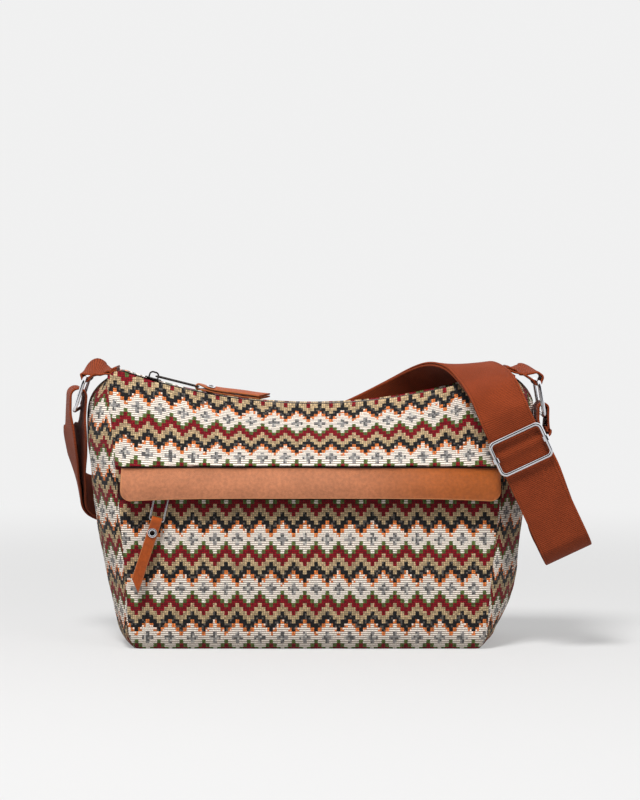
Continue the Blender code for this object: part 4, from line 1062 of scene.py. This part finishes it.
# Pull wires. A rectangular loop of wire hangs in each bail and carries the leather tail.
PULL_WIRE_RADIUS = 0.0006
PULL_WIRE_HALF_WIDTH = 0.0049
PULL_WIRE_CORNER = 0.0010
MAIN_WIRE_LENGTH = 0.0320
POCKET_WIRE_LENGTH = 0.0190
POCKET_PULL_LEAN = 0.135
POCKET_WIRE_TILT = math.radians(12)
POCKET_TAIL_TILT = math.radians(18)


def pull_height():
    return slider_top() + (BAIL_HEIGHT - BAIL_WIRE) / 2


def wire_rest():
    """Where a pull's wire rests in its bail, from the slider's middle."""
    return BAIL_LENGTH / 2 - BAIL_WIRE - PULL_WIRE_RADIUS - GAP


def main_pull_place(a, b, c):
    return on_arc(along_arc(MAIN_SLIDER_X) + wire_rest() + a, b, pull_height() + c)


def hanging(start, tilt, a, b, c):
    """A point of the pocket's pull, which leans out a little and is turned to the left."""
    down = Vector((-math.sin(tilt), 0, -math.cos(tilt)))
    side = Vector((math.cos(tilt), 0, -math.sin(tilt)))
    return start + down * a + side * b + Vector((0, -POCKET_PULL_LEAN * a - c, 0))


def pocket_pull_place(a, b, c):
    pivot = on_pocket_zip(POCKET_SLIDER_X, -wire_rest(), pull_height())
    return hanging(pivot, POCKET_WIRE_TILT, a, b, c)


def pull_wire(name, length, place, body, node, material):
    middle = length / 2
    loop = rounded_rectangle(middle, PULL_WIRE_HALF_WIDTH, PULL_WIRE_CORNER, 6)
    made = round_wire(name, [place(a + middle, b, 0) for a, b in loop], PULL_WIRE_RADIUS, True)
    paint(made, material)
    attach(made, body)
    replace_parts(made, node)


pull_wire(
    "top_pull_loop", MAIN_WIRE_LENGTH, main_pull_place, "main_pull", "main_pull_wire", blackened
)
pull_wire(
    "front_pull_loop", POCKET_WIRE_LENGTH, pocket_pull_place, "pocket_pull", "pocket_pull_wire", chrome
)

# Pull tails. A narrow strip of smooth tan leather, folded round the wire and held by a snap.
LEATHER_THICKNESS = 0.0013
LEATHER_HALF_WIDTH = 0.0038
PLY_GAP = 0.0006
MAIN_TAIL_LENGTH = 0.0490
POCKET_TAIL_LENGTH = 0.0480
MAIN_TAIL_BOW = 0.0005
POCKET_TAIL_BOW = 0.0003
FOLD_EASES_IN = 0.007
SNAPPED_LENGTH = 0.014
TAIL_ROLL = math.radians(17)
TAIL_SLANT = 0.0042


def framed(centres, acrosses):
    """Stations for a strip: across is squared to the path, and the normal to both."""
    stations = []
    for k, centre in enumerate(centres):
        before = centres[max(k - 1, 0)]
        after = centres[min(k + 1, len(centres) - 1)]
        heading = (after - before).normalized()
        across = acrosses[k] - heading * acrosses[k].dot(heading)
        across.normalize()
        stations.append((centre, across, across.cross(heading).normalized()))
    return stations


def strip(name, stations, half_width, thickness, across_steps=8, slant=0.0):
    """A flat strip with rounded edges, swept through its stations. Its map is in metres."""
    radius = thickness / 2
    flat = half_width - radius
    profile = [(mix(-flat, flat, k / across_steps), radius) for k in range(across_steps + 1)]
    profile += arc_points((flat, 0), radius, 90, -90, 6)[1:-1]
    profile += [(mix(flat, -flat, k / across_steps), -radius) for k in range(across_steps + 1)]
    profile += arc_points((-flat, 0), radius, -90, -270, 6)[1:-1]
    size = len(profile)
    last = len(stations) - 1
    points = []
    spots = []
    travelled = 0.0
    for k, (centre, across, normal) in enumerate(stations):
        if k:
            travelled += (centre - stations[k - 1][0]).length
        near_end = max(0.0, 1 - min(k, last - k) / 3)
        heading = normal.cross(across) * (-1 if k < 3 else 1)
        for a, c in profile:
            cut = heading * slant * near_end * (a / half_width)
            points.append(centre + across * a + normal * c + cut)
            spots.append((a, travelled))
    faces = []
    for k in range(last):
        for i in range(size):
            after = (i + 1) % size
            faces.append((k * size + i, k * size + after, (k + 1) * size + after, (k + 1) * size + i))
    faces.append(tuple(range(size - 1, -1, -1)))
    faces.append(tuple(last * size + i for i in range(size)))
    mesh = bpy.data.meshes.new(name)
    mesh.from_pydata([tuple(p) for p in points], [], faces)
    layer = mesh.uv_layers.new(name="strip")
    for loop in mesh.loops:
        layer.data[loop.index].uv = spots[loop.vertex_index]
    made = added(name, mesh)
    pick(made)
    bpy.ops.object.mode_set(mode="EDIT")
    bpy.ops.mesh.select_all(action="SELECT")
    bpy.ops.mesh.normals_make_consistent(inside=False)
    bpy.ops.object.mode_set(mode="OBJECT")
    bpy.ops.object.shade_smooth_by_angle(angle=math.radians(50))
    return made


def hide(name, colour, far_colour, map_name, marks, grain=1.0):
    """Tan leather with fine grain. Its marks are how far it turns to the far colour, how pale it
    is rubbed at its edges, and how far painted shade darkens it under a fold."""
    material, tree, shader = new_material(name)
    place, across, along = surface_map(tree, map_name)
    pores = tree.nodes.new("ShaderNodeTexVoronoi")
    pores.feature = "DISTANCE_TO_EDGE"
    pores.inputs["Scale"].default_value = 950.0
    tree.links.new(place, pores.inputs["Vector"])
    creases = speckle(tree, place, 420.0, 5.0)
    cloudy = speckle(tree, place, 38.0, 3.0)
    turned, edge, painted_shadow = marks(tree, across, along)
    base = colour_mix(tree, spread(tree, turned, 0.0, 1.0), colour, far_colour)
    clouds = spread(tree, cloudy, 0.25, 0.75, 0.88, 1.10)
    tone = times(tree, clouds, spread(tree, creases, 0.25, 0.75, 0.84, 1.14))
    base = toned(tree, base, tone)
    base = colour_mix(tree, edge, base, shade(226, 150, 98))
    # Painted shade: the colour is darkened towards a deep brown where the leather lies under a fold.
    tree.links.new(colour_mix(tree, painted_shadow, base, shade(44, 20, 12)), shader.inputs["Base Color"])
    tree.links.new(spread(tree, creases, 0.2, 0.8, 0.40, 0.58), shader.inputs["Roughness"])
    shader.inputs["Specular IOR Level"].default_value = 0.42
    cells = times(tree, spread(tree, pores.outputs["Distance"], 0.0, 0.12), 0.6)
    height = plus(tree, cells, creases)
    relief(tree, shader, height, 0.55 * grain, 0.00035)
    return material


def tail_edges(tree, across, along):
    outward = maths(tree, "ABSOLUTE", across)
    rim = spread(tree, outward, LEATHER_HALF_WIDTH - 0.0007, LEATHER_HALF_WIDTH - 0.0001)
    return times(tree, along, 8.0), times(tree, rim, 0.35), 0.0


tail_leather = hide("tan_tail_leather", shade(168, 77, 26), shade(157, 71, 25), "strip", tail_edges, 0.6)


def ply_height(distance):
    """Middle of a ply above or below the wire's plane, by its distance from the fold."""
    round_the_wire = PULL_WIRE_RADIUS + 2 * GAP + LEATHER_THICKNESS / 2
    share = min(1, distance / FOLD_EASES_IN)
    return mix(round_the_wire, (PLY_GAP + LEATHER_THICKNESS) / 2, share * share * (3 - 2 * share))


def pull_tail(name, fold, length, bow, place, body, node):
    steps = 28
    path = []
    for k in range(steps, 0, -1):
        distance = length * k / steps
        path.append((fold + distance, -ply_height(distance)))
    path += arc_points((fold, 0), ply_height(0), 270, 90, 10)
    for k in range(1, steps + 1):
        distance = length * k / steps
        free = max(0.0, distance - SNAPPED_LENGTH) / (length - SNAPPED_LENGTH)
        path.append((fold + distance, ply_height(distance) + bow * math.sin(math.pi * free) ** 2))
    centres = [Vector((a, 0, c)) for a, c in path]
    stations = framed(centres, [Vector((0, 1, 0))] * len(centres))
    tail = strip(name, stations, LEATHER_HALF_WIDTH, LEATHER_THICKNESS, 6, TAIL_SLANT)
    for point in tail.data.vertices:
        point.co = place(*point.co)
    paint(tail, tail_leather)
    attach(tail, body)
    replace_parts(tail, node)


def main_tail_place(a, b, c):
    """The top zip's tail rolls over a little past its wire, so its upper face turns forwards."""
    roll = TAIL_ROLL * min(1, max(0.0, (a - MAIN_WIRE_LENGTH) / 0.010))
    across = b * math.cos(roll) - c * math.sin(roll)
    return main_pull_place(a, across, c * math.cos(roll) + b * math.sin(roll))


def pocket_tail_place(a, b, c):
    """The tail turns further left than its wire, about the wire's lower bar."""
    lower_bar = pocket_pull_place(POCKET_WIRE_LENGTH, 0, 0)
    return hanging(lower_bar, POCKET_TAIL_TILT, a - POCKET_WIRE_LENGTH, b, c)


pull_tail(
    "top_pull_tail", MAIN_WIRE_LENGTH, MAIN_TAIL_LENGTH, MAIN_TAIL_BOW, main_tail_place,
    "main_pull", "main_pull_leather",
)
pull_tail(
    "front_pull_tail", POCKET_WIRE_LENGTH, POCKET_TAIL_LENGTH, POCKET_TAIL_BOW, pocket_tail_place,
    "pocket_pull", "pocket_pull_leather",
)

# Snaps. A nickel ring round a dark dished cap, on both faces of each tail.
SNAP_RADIUS = 0.0034
SNAP_CAP = 0.0009
SNAP_POST_RADIUS = 0.0007
SNAP_FROM_FOLD = 0.0090
SNAP_TURNS = 40
SNAP_PROFILE = (
    (0.0, 0.35), (0.30, 0.40), (0.56, 0.45), (0.64, 0.85), (0.78, 1.0), (0.92, 0.85), (1.0, 0.45), (1.0, 0.0)
)


def snap(name, distance, place, body, node):
    outside = ply_height(SNAP_FROM_FOLD) + LEATHER_THICKNESS / 2 + GAP
    half = [(SNAP_RADIUS * r, outside + SNAP_CAP * h) for r, h in SNAP_PROFILE]
    half.append((SNAP_POST_RADIUS, outside))
    profile = half + [(r, -h) for r, h in reversed(half)]
    form = bmesh.new()
    rings = []
    for r, h in profile:
        ring = []
        for k in range(SNAP_TURNS):
            angle = 2 * math.pi * k / SNAP_TURNS
            ring.append(form.verts.new(place(distance + r * math.cos(angle), r * math.sin(angle), h)))
        rings.append(ring)
    for k, (ring, after) in enumerate(zip(rings, rings[1:])):
        inner = k < 2 or k > len(profile) - 4
        for turn in range(SNAP_TURNS):
            turned = (turn + 1) % SNAP_TURNS
            face = form.faces.new((ring[turn], ring[turned], after[turned], after[turn]))
            face.material_index = 1 if inner else 0
            face.smooth = True
    bmesh.ops.remove_doubles(form, verts=form.verts, dist=1e-7)
    bmesh.ops.recalc_face_normals(form, faces=form.faces)
    mesh = bpy.data.meshes.new(name)
    form.to_mesh(mesh)
    form.free()
    made = added(name, mesh)
    mesh.materials.append(chrome)
    mesh.materials.append(blackened)
    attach(made, body)
    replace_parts(made, node)


snap(
    "top_pull_stud", MAIN_WIRE_LENGTH + SNAP_FROM_FOLD, main_tail_place, "main_pull", "main_pull_snap"
)
snap(
    "front_pull_stud", POCKET_WIRE_LENGTH + SNAP_FROM_FOLD, pocket_tail_place,
    "pocket_pull", "pocket_pull_snap",
)

# Leather flap. One long piece of grained tan leather, sewn in under the upper cloth's fold. It
# stands off over the pocket's zip, with rounded lower corners and a shallow wave in its edge.
FLAP_LEFT = -0.1330
FLAP_RIGHT = 0.1370
FLAP_BOTTOM = 0.1085
FLAP_END_DROP = 0.0022
FLAP_THICKNESS = 0.0018
FLAP_STANDOFF = 0.0093
FLAP_CORNER = 0.008
FLAP_SEWN = 0.003
FLAP_RISE = 0.0160
FLAP_WAVE = 0.0006


def flap_bottom(x):
    share = (x - FLAP_LEFT) / (FLAP_RIGHT - FLAP_LEFT)
    wave = FLAP_BOTTOM - FLAP_END_DROP * (2 * share - 1) ** 4
    short = max(0.0, FLAP_CORNER - min(x - FLAP_LEFT, FLAP_RIGHT - x))
    return wave + FLAP_CORNER - math.sqrt(max(0.0, FLAP_CORNER**2 - short**2))


def flap_along(u):
    """Place along the flap. The points lie closer together at its ends, for the round corners."""
    return mix(FLAP_LEFT, FLAP_RIGHT, u - 0.10 * math.sin(2 * math.pi * u))


def flap_place(u, t):
    x = flap_along(u)
    z = mix(flap_bottom(x), FLAP_TOP, t)
    to_full = 1 - min(1, max(0, (FLAP_TOP - FLAP_SEWN - z) / FLAP_RISE))
    off = FLAP_STANDOFF * (1 - to_full**2.2)
    off += abs(soft(x, z, 31.0, 0.060)) * FLAP_WAVE * (1 - t)
    wall = -half_depth(min(z, FLAP_LINE_HEIGHT) / FLAP_LINE_HEIGHT)
    return Vector((x, wall - 2 * GAP - off - FLAP_THICKNESS, z))


def flap_map(u, t):
    x = flap_along(u)
    return (x, (FLAP_TOP - flap_bottom(x)) * t)


def flap_edges(tree, across, along):
    turned = spread(tree, across, mix(FLAP_LEFT, FLAP_RIGHT, 0.42), FLAP_RIGHT)
    low = spread(tree, along, 0.0012, 0.0003)
    left = spread(tree, across, FLAP_LEFT + 0.0013, FLAP_LEFT + 0.0004)
    # Painted shade: a dark band along the flap's top edge, under the overhang of the cloth's fold.
    painted_fold_shade = spread(tree, in_space(tree)["Z"], FLAP_TOP - 0.0017, FLAP_TOP - 0.0009)
    return turned, times(tree, maths(tree, "MAXIMUM", low, left), 0.38), painted_fold_shade


flap = shaped_sheet("front_flap", 150, 16, flap_place, "hide", flap_map)
thicken(flap, FLAP_THICKNESS, 0.0006, -1.0, 60)
flap_leather = hide("tan_flap_leather", shade(182, 118, 84), shade(162, 86, 38), "hide", flap_edges)
paint(flap, flap_leather)
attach(flap, "root")
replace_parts(flap, "leather_flap")

# Rings. A rectangular wire ring at each top corner. Its upper bar lies in the tab's loop, and
# the strap's webbing passes round its lower bar.
RING_OUT = {-1: 0.0158, 1: 0.0164}
RING_FALL = {-1: 0.0005, 1: 0.0030}
RING_HANG = {-1: Vector((-0.0075, 0, -0.0235)), 1: Vector((0.0040, 0, -0.0245))}
RING_WIRE_RADIUS = 0.0015
RING_HALF_WIDTH = 0.0215
RING_CORNER = 0.0045


def ring_top(side):
    out = seam_reach(side, 2) + RING_OUT[side]
    return Vector((side * out, 0, wall_height(0, 2) - RING_FALL[side]))


def ring_bottom(side):
    return ring_top(side) + RING_HANG[side]


def wire_ring(name, side, body):
    down = RING_HANG[side]
    middle = ring_top(side) + down / 2
    heading = down.normalized()
    loop = rounded_rectangle(RING_HALF_WIDTH, down.length / 2, RING_CORNER, 8)
    points = [middle + Vector((0, a, 0)) + heading * b for a, b in loop]
    made = round_wire(name, points, RING_WIRE_RADIUS, True)
    paint(made, chrome)
    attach(made, body)
    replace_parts(made, body)


wire_ring("wire_ring_left", -1, "ring_left")
wire_ring("wire_ring_right", 1, "ring_right")

# Tabs. A short length of webbing is folded through each ring's upper bar, and its two ends
# are sewn down over the end of the zip.
WEB_HALF_WIDTH = 0.0180
WEB_THICKNESS = 0.0016
TAB_HALF_WIDTH = 0.0150
TAB_THICKNESS = 0.0016
TAB_SEAT = 0.0060
TAB_CLEARANCE = 0.0003
TAB_CREST = {-1: 0.62, 1: 0.45}
TAB_RISE = {-1: 0.0105, 1: 0.0045}
TAB_LOWER_SHARE = 0.30
TAB_TURN = {-1: 0.42, 1: 0.24}
TAB_SAG = {-1: 0.0062, 1: 0.0030}
TAB_CURL = 0.0045
RIB_PITCH = 0.00125
WARP_PITCH = 0.00105
EDGE_LINE = 0.0016
EDGE_GROOVE = 0.0018


def ribbed_webbing(name, half_width):
    """Rust webbing: weft ribs across it, crossed by warp yarns, with a denser line at each edge.
    Its hollows and a groove line inside each edge are darkened with painted shade.
    """
    material, tree, shader = new_material(name)
    place, across, along = surface_map(tree, "strip")
    wander = times(tree, minus(tree, speckle(tree, place, 210.0, 3.0), 0.5), 0.0007)
    row = maths(tree, "DIVIDE", plus(tree, along, wander), RIB_PITCH)
    rib = maths(tree, "SQRT", ridges(tree, row, math.pi))
    odd = maths(tree, "FLOORED_MODULO", maths(tree, "FLOOR", row), 2.0)
    yarn = plus(tree, maths(tree, "DIVIDE", across, WARP_PITCH), times(tree, odd, 0.5))
    warp = ridges(tree, yarn, math.pi)
    height = times(tree, rib, spread(tree, warp, 0.0, 0.9, 0.78, 1.0))
    outward = maths(tree, "ABSOLUTE", across)
    edge = spread(tree, outward, half_width - EDGE_LINE, half_width - EDGE_LINE / 2)
    from_groove = maths(tree, "ABSOLUTE", minus(tree, outward, half_width - EDGE_GROOVE))
    groove = spread(tree, from_groove, 0.0004, 0.0)
    # Painted shade: the colour runs from a dark trough colour in the hollows between ribs and yarns to the
    # crest colour on their tops.
    colour = colour_mix(tree, spread(tree, height, 0.10, 0.85), shade(76, 26, 11), shade(143, 62, 31))
    mottle = spread(tree, speckle(tree, place, 60.0, 4.0), 0.25, 0.75, 0.90, 1.08)
    lint = spread(tree, speckle(tree, place, 1500.0, 2.0), 0.3, 0.7, 0.90, 1.10)
    # Painted shade: besides the random mottle and lint, the tone is darkened along a thin groove line a
    # little inside each edge.
    tone = times(tree, times(tree, mottle, lint), spread(tree, groove, 0.0, 1.0, 1.0, 0.66))
    colour = toned(tree, colour, tone)
    colour = colour_mix(tree, times(tree, edge, 0.3), colour, shade(152, 68, 34))
    tree.links.new(colour, shader.inputs["Base Color"])
    shader.inputs["Roughness"].default_value = 0.82
    shader.inputs["Specular IOR Level"].default_value = 0.25
    shader.inputs["Sheen Weight"].default_value = 0.04
    shader.inputs["Sheen Roughness"].default_value = 0.5
    relief(tree, shader, height, 0.6, 0.00035)
    return material


def smooth_path(points, steps):
    """A smooth curve through the points, with a number of steps between each two."""
    found = []
    count = len(points)
    for k in range(count - 1):
        p0 = points[max(k - 1, 0)]
        p1 = points[k]
        p2 = points[k + 1]
        p3 = points[min(k + 2, count - 1)]
        for step in range(steps):
            s = step / steps
            b = p2 - p0
            c = 2 * p0 - 5 * p1 + 4 * p2 - p3
            d = 3 * p1 - p0 - 3 * p2 + p3
            found.append((2 * p1 + b * s + c * s * s + d * s**3) / 2)
    found.append(points[-1])
    return found


tab_webbing = ribbed_webbing("rust_tab_webbing", TAB_HALF_WIDTH)


def tab(name, side, node):
    seam = seam_reach(side, 2)
    lift = TAB_THICKNESS / 2 + CHAIN_HEIGHT + TAB_CLEARANCE
    start, middle, corner = [
        on_arc(along_arc(side * (seam - back)), 0, lift) for back in (TAB_SEAT, TAB_SEAT / 2, 0)
    ]
    hold = RING_WIRE_RADIUS + GAP + TAB_THICKNESS / 2
    ply = TAB_THICKNESS + GAP
    bar = ring_top(side)
    top = Vector((mix(corner.x, bar.x, TAB_CREST[side]), 0, max(corner.z, bar.z) + TAB_RISE[side]))
    near = bar + Vector((-side * hold, 0, 0))
    bridge = mix(corner, near, 0.5) + Vector((0, 0, TAB_RISE[side] * TAB_LOWER_SHARE))
    path = smooth_path([start, middle, corner, bridge, near], 8)
    turn = []
    for k in range(1, 9):
        angle = math.pi * (1 + k / 8)
        turn.append(bar + Vector((side * hold * math.cos(angle), 0, hold * math.sin(angle))))
    far = turn[-1]
    upper = [far, far + Vector((0, 0, TAB_CURL)), top]
    for point, gap in ((corner, GAP), (middle, -0.5 * GAP), (start, -0.5 * GAP)):
        upper.append(point + Vector((0, 0, ply + gap)))
    path += turn[:-1] + smooth_path(upper, 8)
    base_line = max(corner.z, bar.z)
    tips = []
    for k, point in enumerate(path):
        outside = min(1, max(0.0, side * (point.x - corner.x) / 0.004))
        raised = outside * min(1, max(0.0, (point.z - base_line) / TAB_RISE[side]))
        tips.append(Vector((0, 1, TAB_TURN[side] * raised)))
        path[k] = point - Vector((0, 0, TAB_SAG[side] * raised))
    stations = framed(path, tips)
    made = strip(name, stations, TAB_HALF_WIDTH, TAB_THICKNESS, 10)
    paint(made, tab_webbing)
    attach(made, "root")
    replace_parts(made, node)


tab("webbing_tab_left", -1, "tab_left")
tab("webbing_tab_right", 1, "tab_right")

# Shoulder strap. One length of rust webbing: sewn round the right ring, down to a fold, up
# through the slider, over the top and behind the bag, round the left ring and back inside.
LAYER_GAP = 0.0007
LOOP_OUT = {-1: 0.0062, 1: 0.0032}
LOOP_ROOM = {-1: 0.0112, 1: 0.0070}
LOOP_RISE = {-1: 0.0105, 1: 0.0050}
LOOP_BLEND_STATIONS = 22
SLIDER_CENTRE = Vector((0.1499, -0.0640, 0.1443))
STRAP_DOWN = Vector((0.4250, 0, -0.9052)).normalized()
STRAP_ACROSS = Vector((0.9052, 0, 0.4250)).normalized()
STRAP_OUT = Vector((0, -1, 0))
FOLD_RADIUS = 0.0130
FOLD_DISTANCE = 0.0703
END_LOOP_TAIL = 0.0200
BAR_HUMP = 0.0012
BAR_HUMP_WIDTH = 0.0034


def gusset_reach(side, z):
    t = z / FLAP_LINE_HEIGHT
    if t > 1:
        t = 1 + (z - FLAP_LINE_HEIGHT) / (wall_height(0, 2) - FLAP_LINE_HEIGHT)
    return abs(gusset_point(side, 0, t).x)


def beside(side, out, y, z):
    """A point off a gusset: out is its distance from the gusset's middle at that height."""
    return Vector((side * (gusset_reach(side, z) + out), y, z))


def over(x, y, rise):
    return Vector((x, y, zip_height(x) + rise))


def behind(x, out, z):
    return Vector((x, BASE_HALF_DEPTH + out, z))


def strap_route():
    """The strap's middle line and width direction, from the right ring to the left one."""
    right_line = ring_bottom(1) + Vector((LOOP_OUT[1], 0, 0))
    left_line = ring_bottom(-1) - Vector((LOOP_OUT[-1], 0, 0))
    fold = SLIDER_CENTRE + STRAP_DOWN * FOLD_DISTANCE
    fold_back = fold + Vector((0, 2 * FOLD_RADIUS, 0))
    route = [
        (right_line + Vector((0, 0, LOOP_RISE[1])), Vector((0, -1, 0))),
        (right_line + Vector((0, 0, -0.0040)), Vector((0, -1, 0))),
        (right_line + Vector((-0.0002, 0, -0.0130)), Vector((0.06, -0.99, 0))),
        (beside(1, 0.0058, -0.004, 0.143), Vector((0.14, -0.98, 0.08))),
        (beside(1, 0.0062, -0.012, 0.134), Vector((0.26, -0.95, 0.15))),
        (beside(1, 0.0108, -0.025, 0.119), Vector((0.54, -0.78, 0.30))),
        (beside(1, 0.0142, -0.033, 0.104), Vector((0.83, -0.44, 0.38))),
        (fold_back - STRAP_DOWN * 0.010, STRAP_ACROSS),
        (fold_back, STRAP_ACROSS),
    ]
    for k in range(1, 8):
        angle = math.pi * k / 8
        swing = Vector((0, FOLD_RADIUS * (1 + math.cos(angle)), 0))
        route.append((fold + swing + STRAP_DOWN * FOLD_RADIUS * math.sin(angle), STRAP_ACROSS))
    for share in (1.0, 0.75, 0.5, 0.25, 0.0, -0.20, -0.34):
        route.append((SLIDER_CENTRE + STRAP_DOWN * FOLD_DISTANCE * share, STRAP_ACROSS))
    route += [
        (SLIDER_CENTRE + Vector((-0.0130, 0.0025, 0.0289)), Vector((0.90, 0.03, 0.43))),
        (SLIDER_CENTRE + Vector((-0.0184, 0.0140, 0.0420)), Vector((0.90, 0.16, 0.40))),
        (over(SLIDER_CENTRE.x - 0.0250, -0.0290, 0.0050), Vector((0.90, 0.32, 0.30))),
        (over(SLIDER_CENTRE.x - 0.0352, -0.0040, 0.0138), Vector((0.88, 0.42, 0.06))),
        (over(SLIDER_CENTRE.x - 0.0522, 0.0190, 0.0112), Vector((0.80, 0.38, -0.34))),
        (behind(0.0700, -0.0080, 0.1750), Vector((0.62, 0.18, -0.75))),
        (behind(0.0350, 0.0060, 0.1560), Vector((0.48, 0.05, -0.88))),
        (behind(-0.0100, 0.0130, 0.1380), Vector((0.40, 0.00, -0.92))),
        (behind(-0.0600, 0.0160, 0.1170), Vector((0.34, 0.00, -0.94))),
        (beside(-1, -0.0510, BASE_HALF_DEPTH + 0.0140, 0.102), Vector((0.22, -0.10, -0.97))),
        (beside(-1, -0.0125, BASE_HALF_DEPTH + 0.0050, 0.097), Vector((0.10, -0.35, -0.93))),
        (beside(-1, 0.0095, BASE_HALF_DEPTH - 0.0130, 0.103), Vector((0.05, -0.70, -0.70))),
        (beside(-1, 0.0138, 0.0200, 0.120), Vector((0.22, -0.92, -0.30))),
        (beside(-1, 0.0136, 0.0080, 0.138), Vector((0.28, -0.95, -0.05))),
        (left_line + Vector((0.0008, 0, -0.0170)), Vector((0.28, -0.96, 0))),
        (left_line + Vector((0, 0, -0.0040)), Vector((0.19, -0.98, 0))),
        (left_line + Vector((0.0004, 0, LOOP_RISE[-1])), Vector((0.17, -0.985, 0))),
    ]
    return route


def loop_round(middle, across, heading, normal, radius, steps=8):
    """The strap's turn round a ring's bar, from its outer side over the bar to its inner one."""
    found = []
    for k in range(1, steps):
        angle = math.pi * k / steps
        swing = normal * radius * math.cos(angle) + heading * radius * math.sin(angle)
        found.append((middle + swing, across))
    return found


def past_slider(run):
    """Index of the first station above the slider's sewn end."""
    for k, (centre, _, _) in enumerate(run):
        above = (SLIDER_CENTRE - centre).dot(STRAP_DOWN)
        in_front = abs(centre.y - SLIDER_CENTRE.y) < 0.03 and centre.x > 0.1
        if in_front and above > END_LOOP_TAIL + GAP:
            return k
    return 0


def strap_stations():
    places, acrosses = zip(*strap_route())
    run = framed(smooth_path(places, 4), smooth_path(acrosses, 4))
    layer = WEB_THICKNESS + LAYER_GAP
    total = len(run)
    back = []
    for k in range(total - 1, past_slider(run) - 1, -1):
        centre, across, normal = run[k]
        share = max(0.0, 1 - (total - 1 - k) / LOOP_BLEND_STATIONS)
        apart = mix(layer, LOOP_ROOM[-1], share * share * (3 - 2 * share))
        back.append((centre - normal * apart, across))
    centre, across, normal = run[-1]
    radius = LOOP_ROOM[-1] / 2
    heading = normal.cross(across).normalized()
    turn = loop_round(centre - normal * radius, across, heading, normal, radius)
    centre, across, normal = run[0]
    radius = LOOP_ROOM[1] / 2
    right_turn = loop_round(centre - normal * radius, across, Vector((0, 0, 1)), normal, radius)
    sewn = []
    for k in range(6):
        centre, across, normal = run[2 * k]
        sewn.append((centre - normal * mix(LOOP_ROOM[1], layer, max(0, k - 2) / 3), across))
    middle = [(centre, across) for centre, across, _ in run]
    places, acrosses = zip(*(sewn[::-1] + right_turn[::-1] + middle + turn + back))
    centres = smooth_path(places, 3)
    for k, centre in enumerate(centres):
        if abs(centre.y - SLIDER_CENTRE.y) < WEB_THICKNESS and centre.x > 0.1:
            from_bar = (centre - SLIDER_CENTRE).dot(STRAP_DOWN) / BAR_HUMP_WIDTH
            centres[k] = centre + STRAP_OUT * BAR_HUMP * math.exp(-(from_bar**2))
    return framed(centres, smooth_path(acrosses, 3))


strap_webbing = ribbed_webbing("rust_strap_webbing", WEB_HALF_WIDTH)
strap = strip("webbing_strap", strap_stations(), WEB_HALF_WIDTH, WEB_THICKNESS, 12)
paint(strap, strap_webbing)
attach(strap, "root")
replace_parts(strap, "shoulder_strap")

# Strap slider. A rectangular wire frame lies on the webbing, and a bar that floats between its
# short sides passes behind. The webbing's free end is folded round that bar and sewn.
FRAME_HALF_WIDTH = 0.0192
FRAME_HALF_HEIGHT = 0.0121
FRAME_WIRE_RADIUS = 0.0014
FRAME_CORNER = 0.0040
BAR_THICKNESS = 0.0024
BAR_HALF_HEIGHT = 0.0018
EYE_WALL = 0.0010
END_LOOP_TRIM = 0.0003
FREE_PLY_LENGTH = 0.018


def slider_point(across, down, out):
    """A point in the strap slider's own axes."""
    return SLIDER_CENTRE + STRAP_ACROSS * across + STRAP_DOWN * down + STRAP_OUT * out


frame_out = WEB_THICKNESS / 2 + GAP + FRAME_WIRE_RADIUS + GAP + EYE_WALL
outline = rounded_rectangle(FRAME_HALF_WIDTH, FRAME_HALF_HEIGHT, FRAME_CORNER, 10)
frame_line = [slider_point(a, b, frame_out) for a, b in outline]
slider_frame = round_wire("slider_frame", frame_line, FRAME_WIRE_RADIUS, True)
paint(slider_frame, chrome)
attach(slider_frame, "strap_slider")
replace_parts(slider_frame, "strap_slider_frame")

paint(bpy.data.objects["strap_slider_bar"], chrome)

bar_out = -(1.5 * WEB_THICKNESS + 2 * GAP + BAR_THICKNESS / 2 + GAP)
first_ply = -(WEB_THICKNESS + GAP)
turn_radius = first_ply - bar_out
path = []
for k in range(7):
    path.append((-END_LOOP_TAIL + (END_LOOP_TAIL - BAR_HALF_HEIGHT) * k / 6 * 0.98, first_ply))
path += arc_points((BAR_HALF_HEIGHT * 0.55, bar_out), turn_radius, 90, -90, 8)
second_ply = first_ply - WEB_THICKNESS - GAP
for k in range(1, 7):
    eased = (k / 6) ** 2 * (3 - 2 * k / 6)
    depth = mix(bar_out - turn_radius, second_ply, min(1, eased * 1.6))
    path.append((-BAR_HALF_HEIGHT - FREE_PLY_LENGTH * k / 6, min(second_ply, depth)))
centres = [slider_point(0, down, out) for down, out in path]
stations = framed(centres, [STRAP_ACROSS] * len(centres))
end_loop = strip("sewn_end_loop", stations, WEB_HALF_WIDTH - END_LOOP_TRIM, WEB_THICKNESS)
paint(end_loop, strap_webbing)
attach(end_loop, "strap_slider")
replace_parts(end_loop, "strap_end_loop")
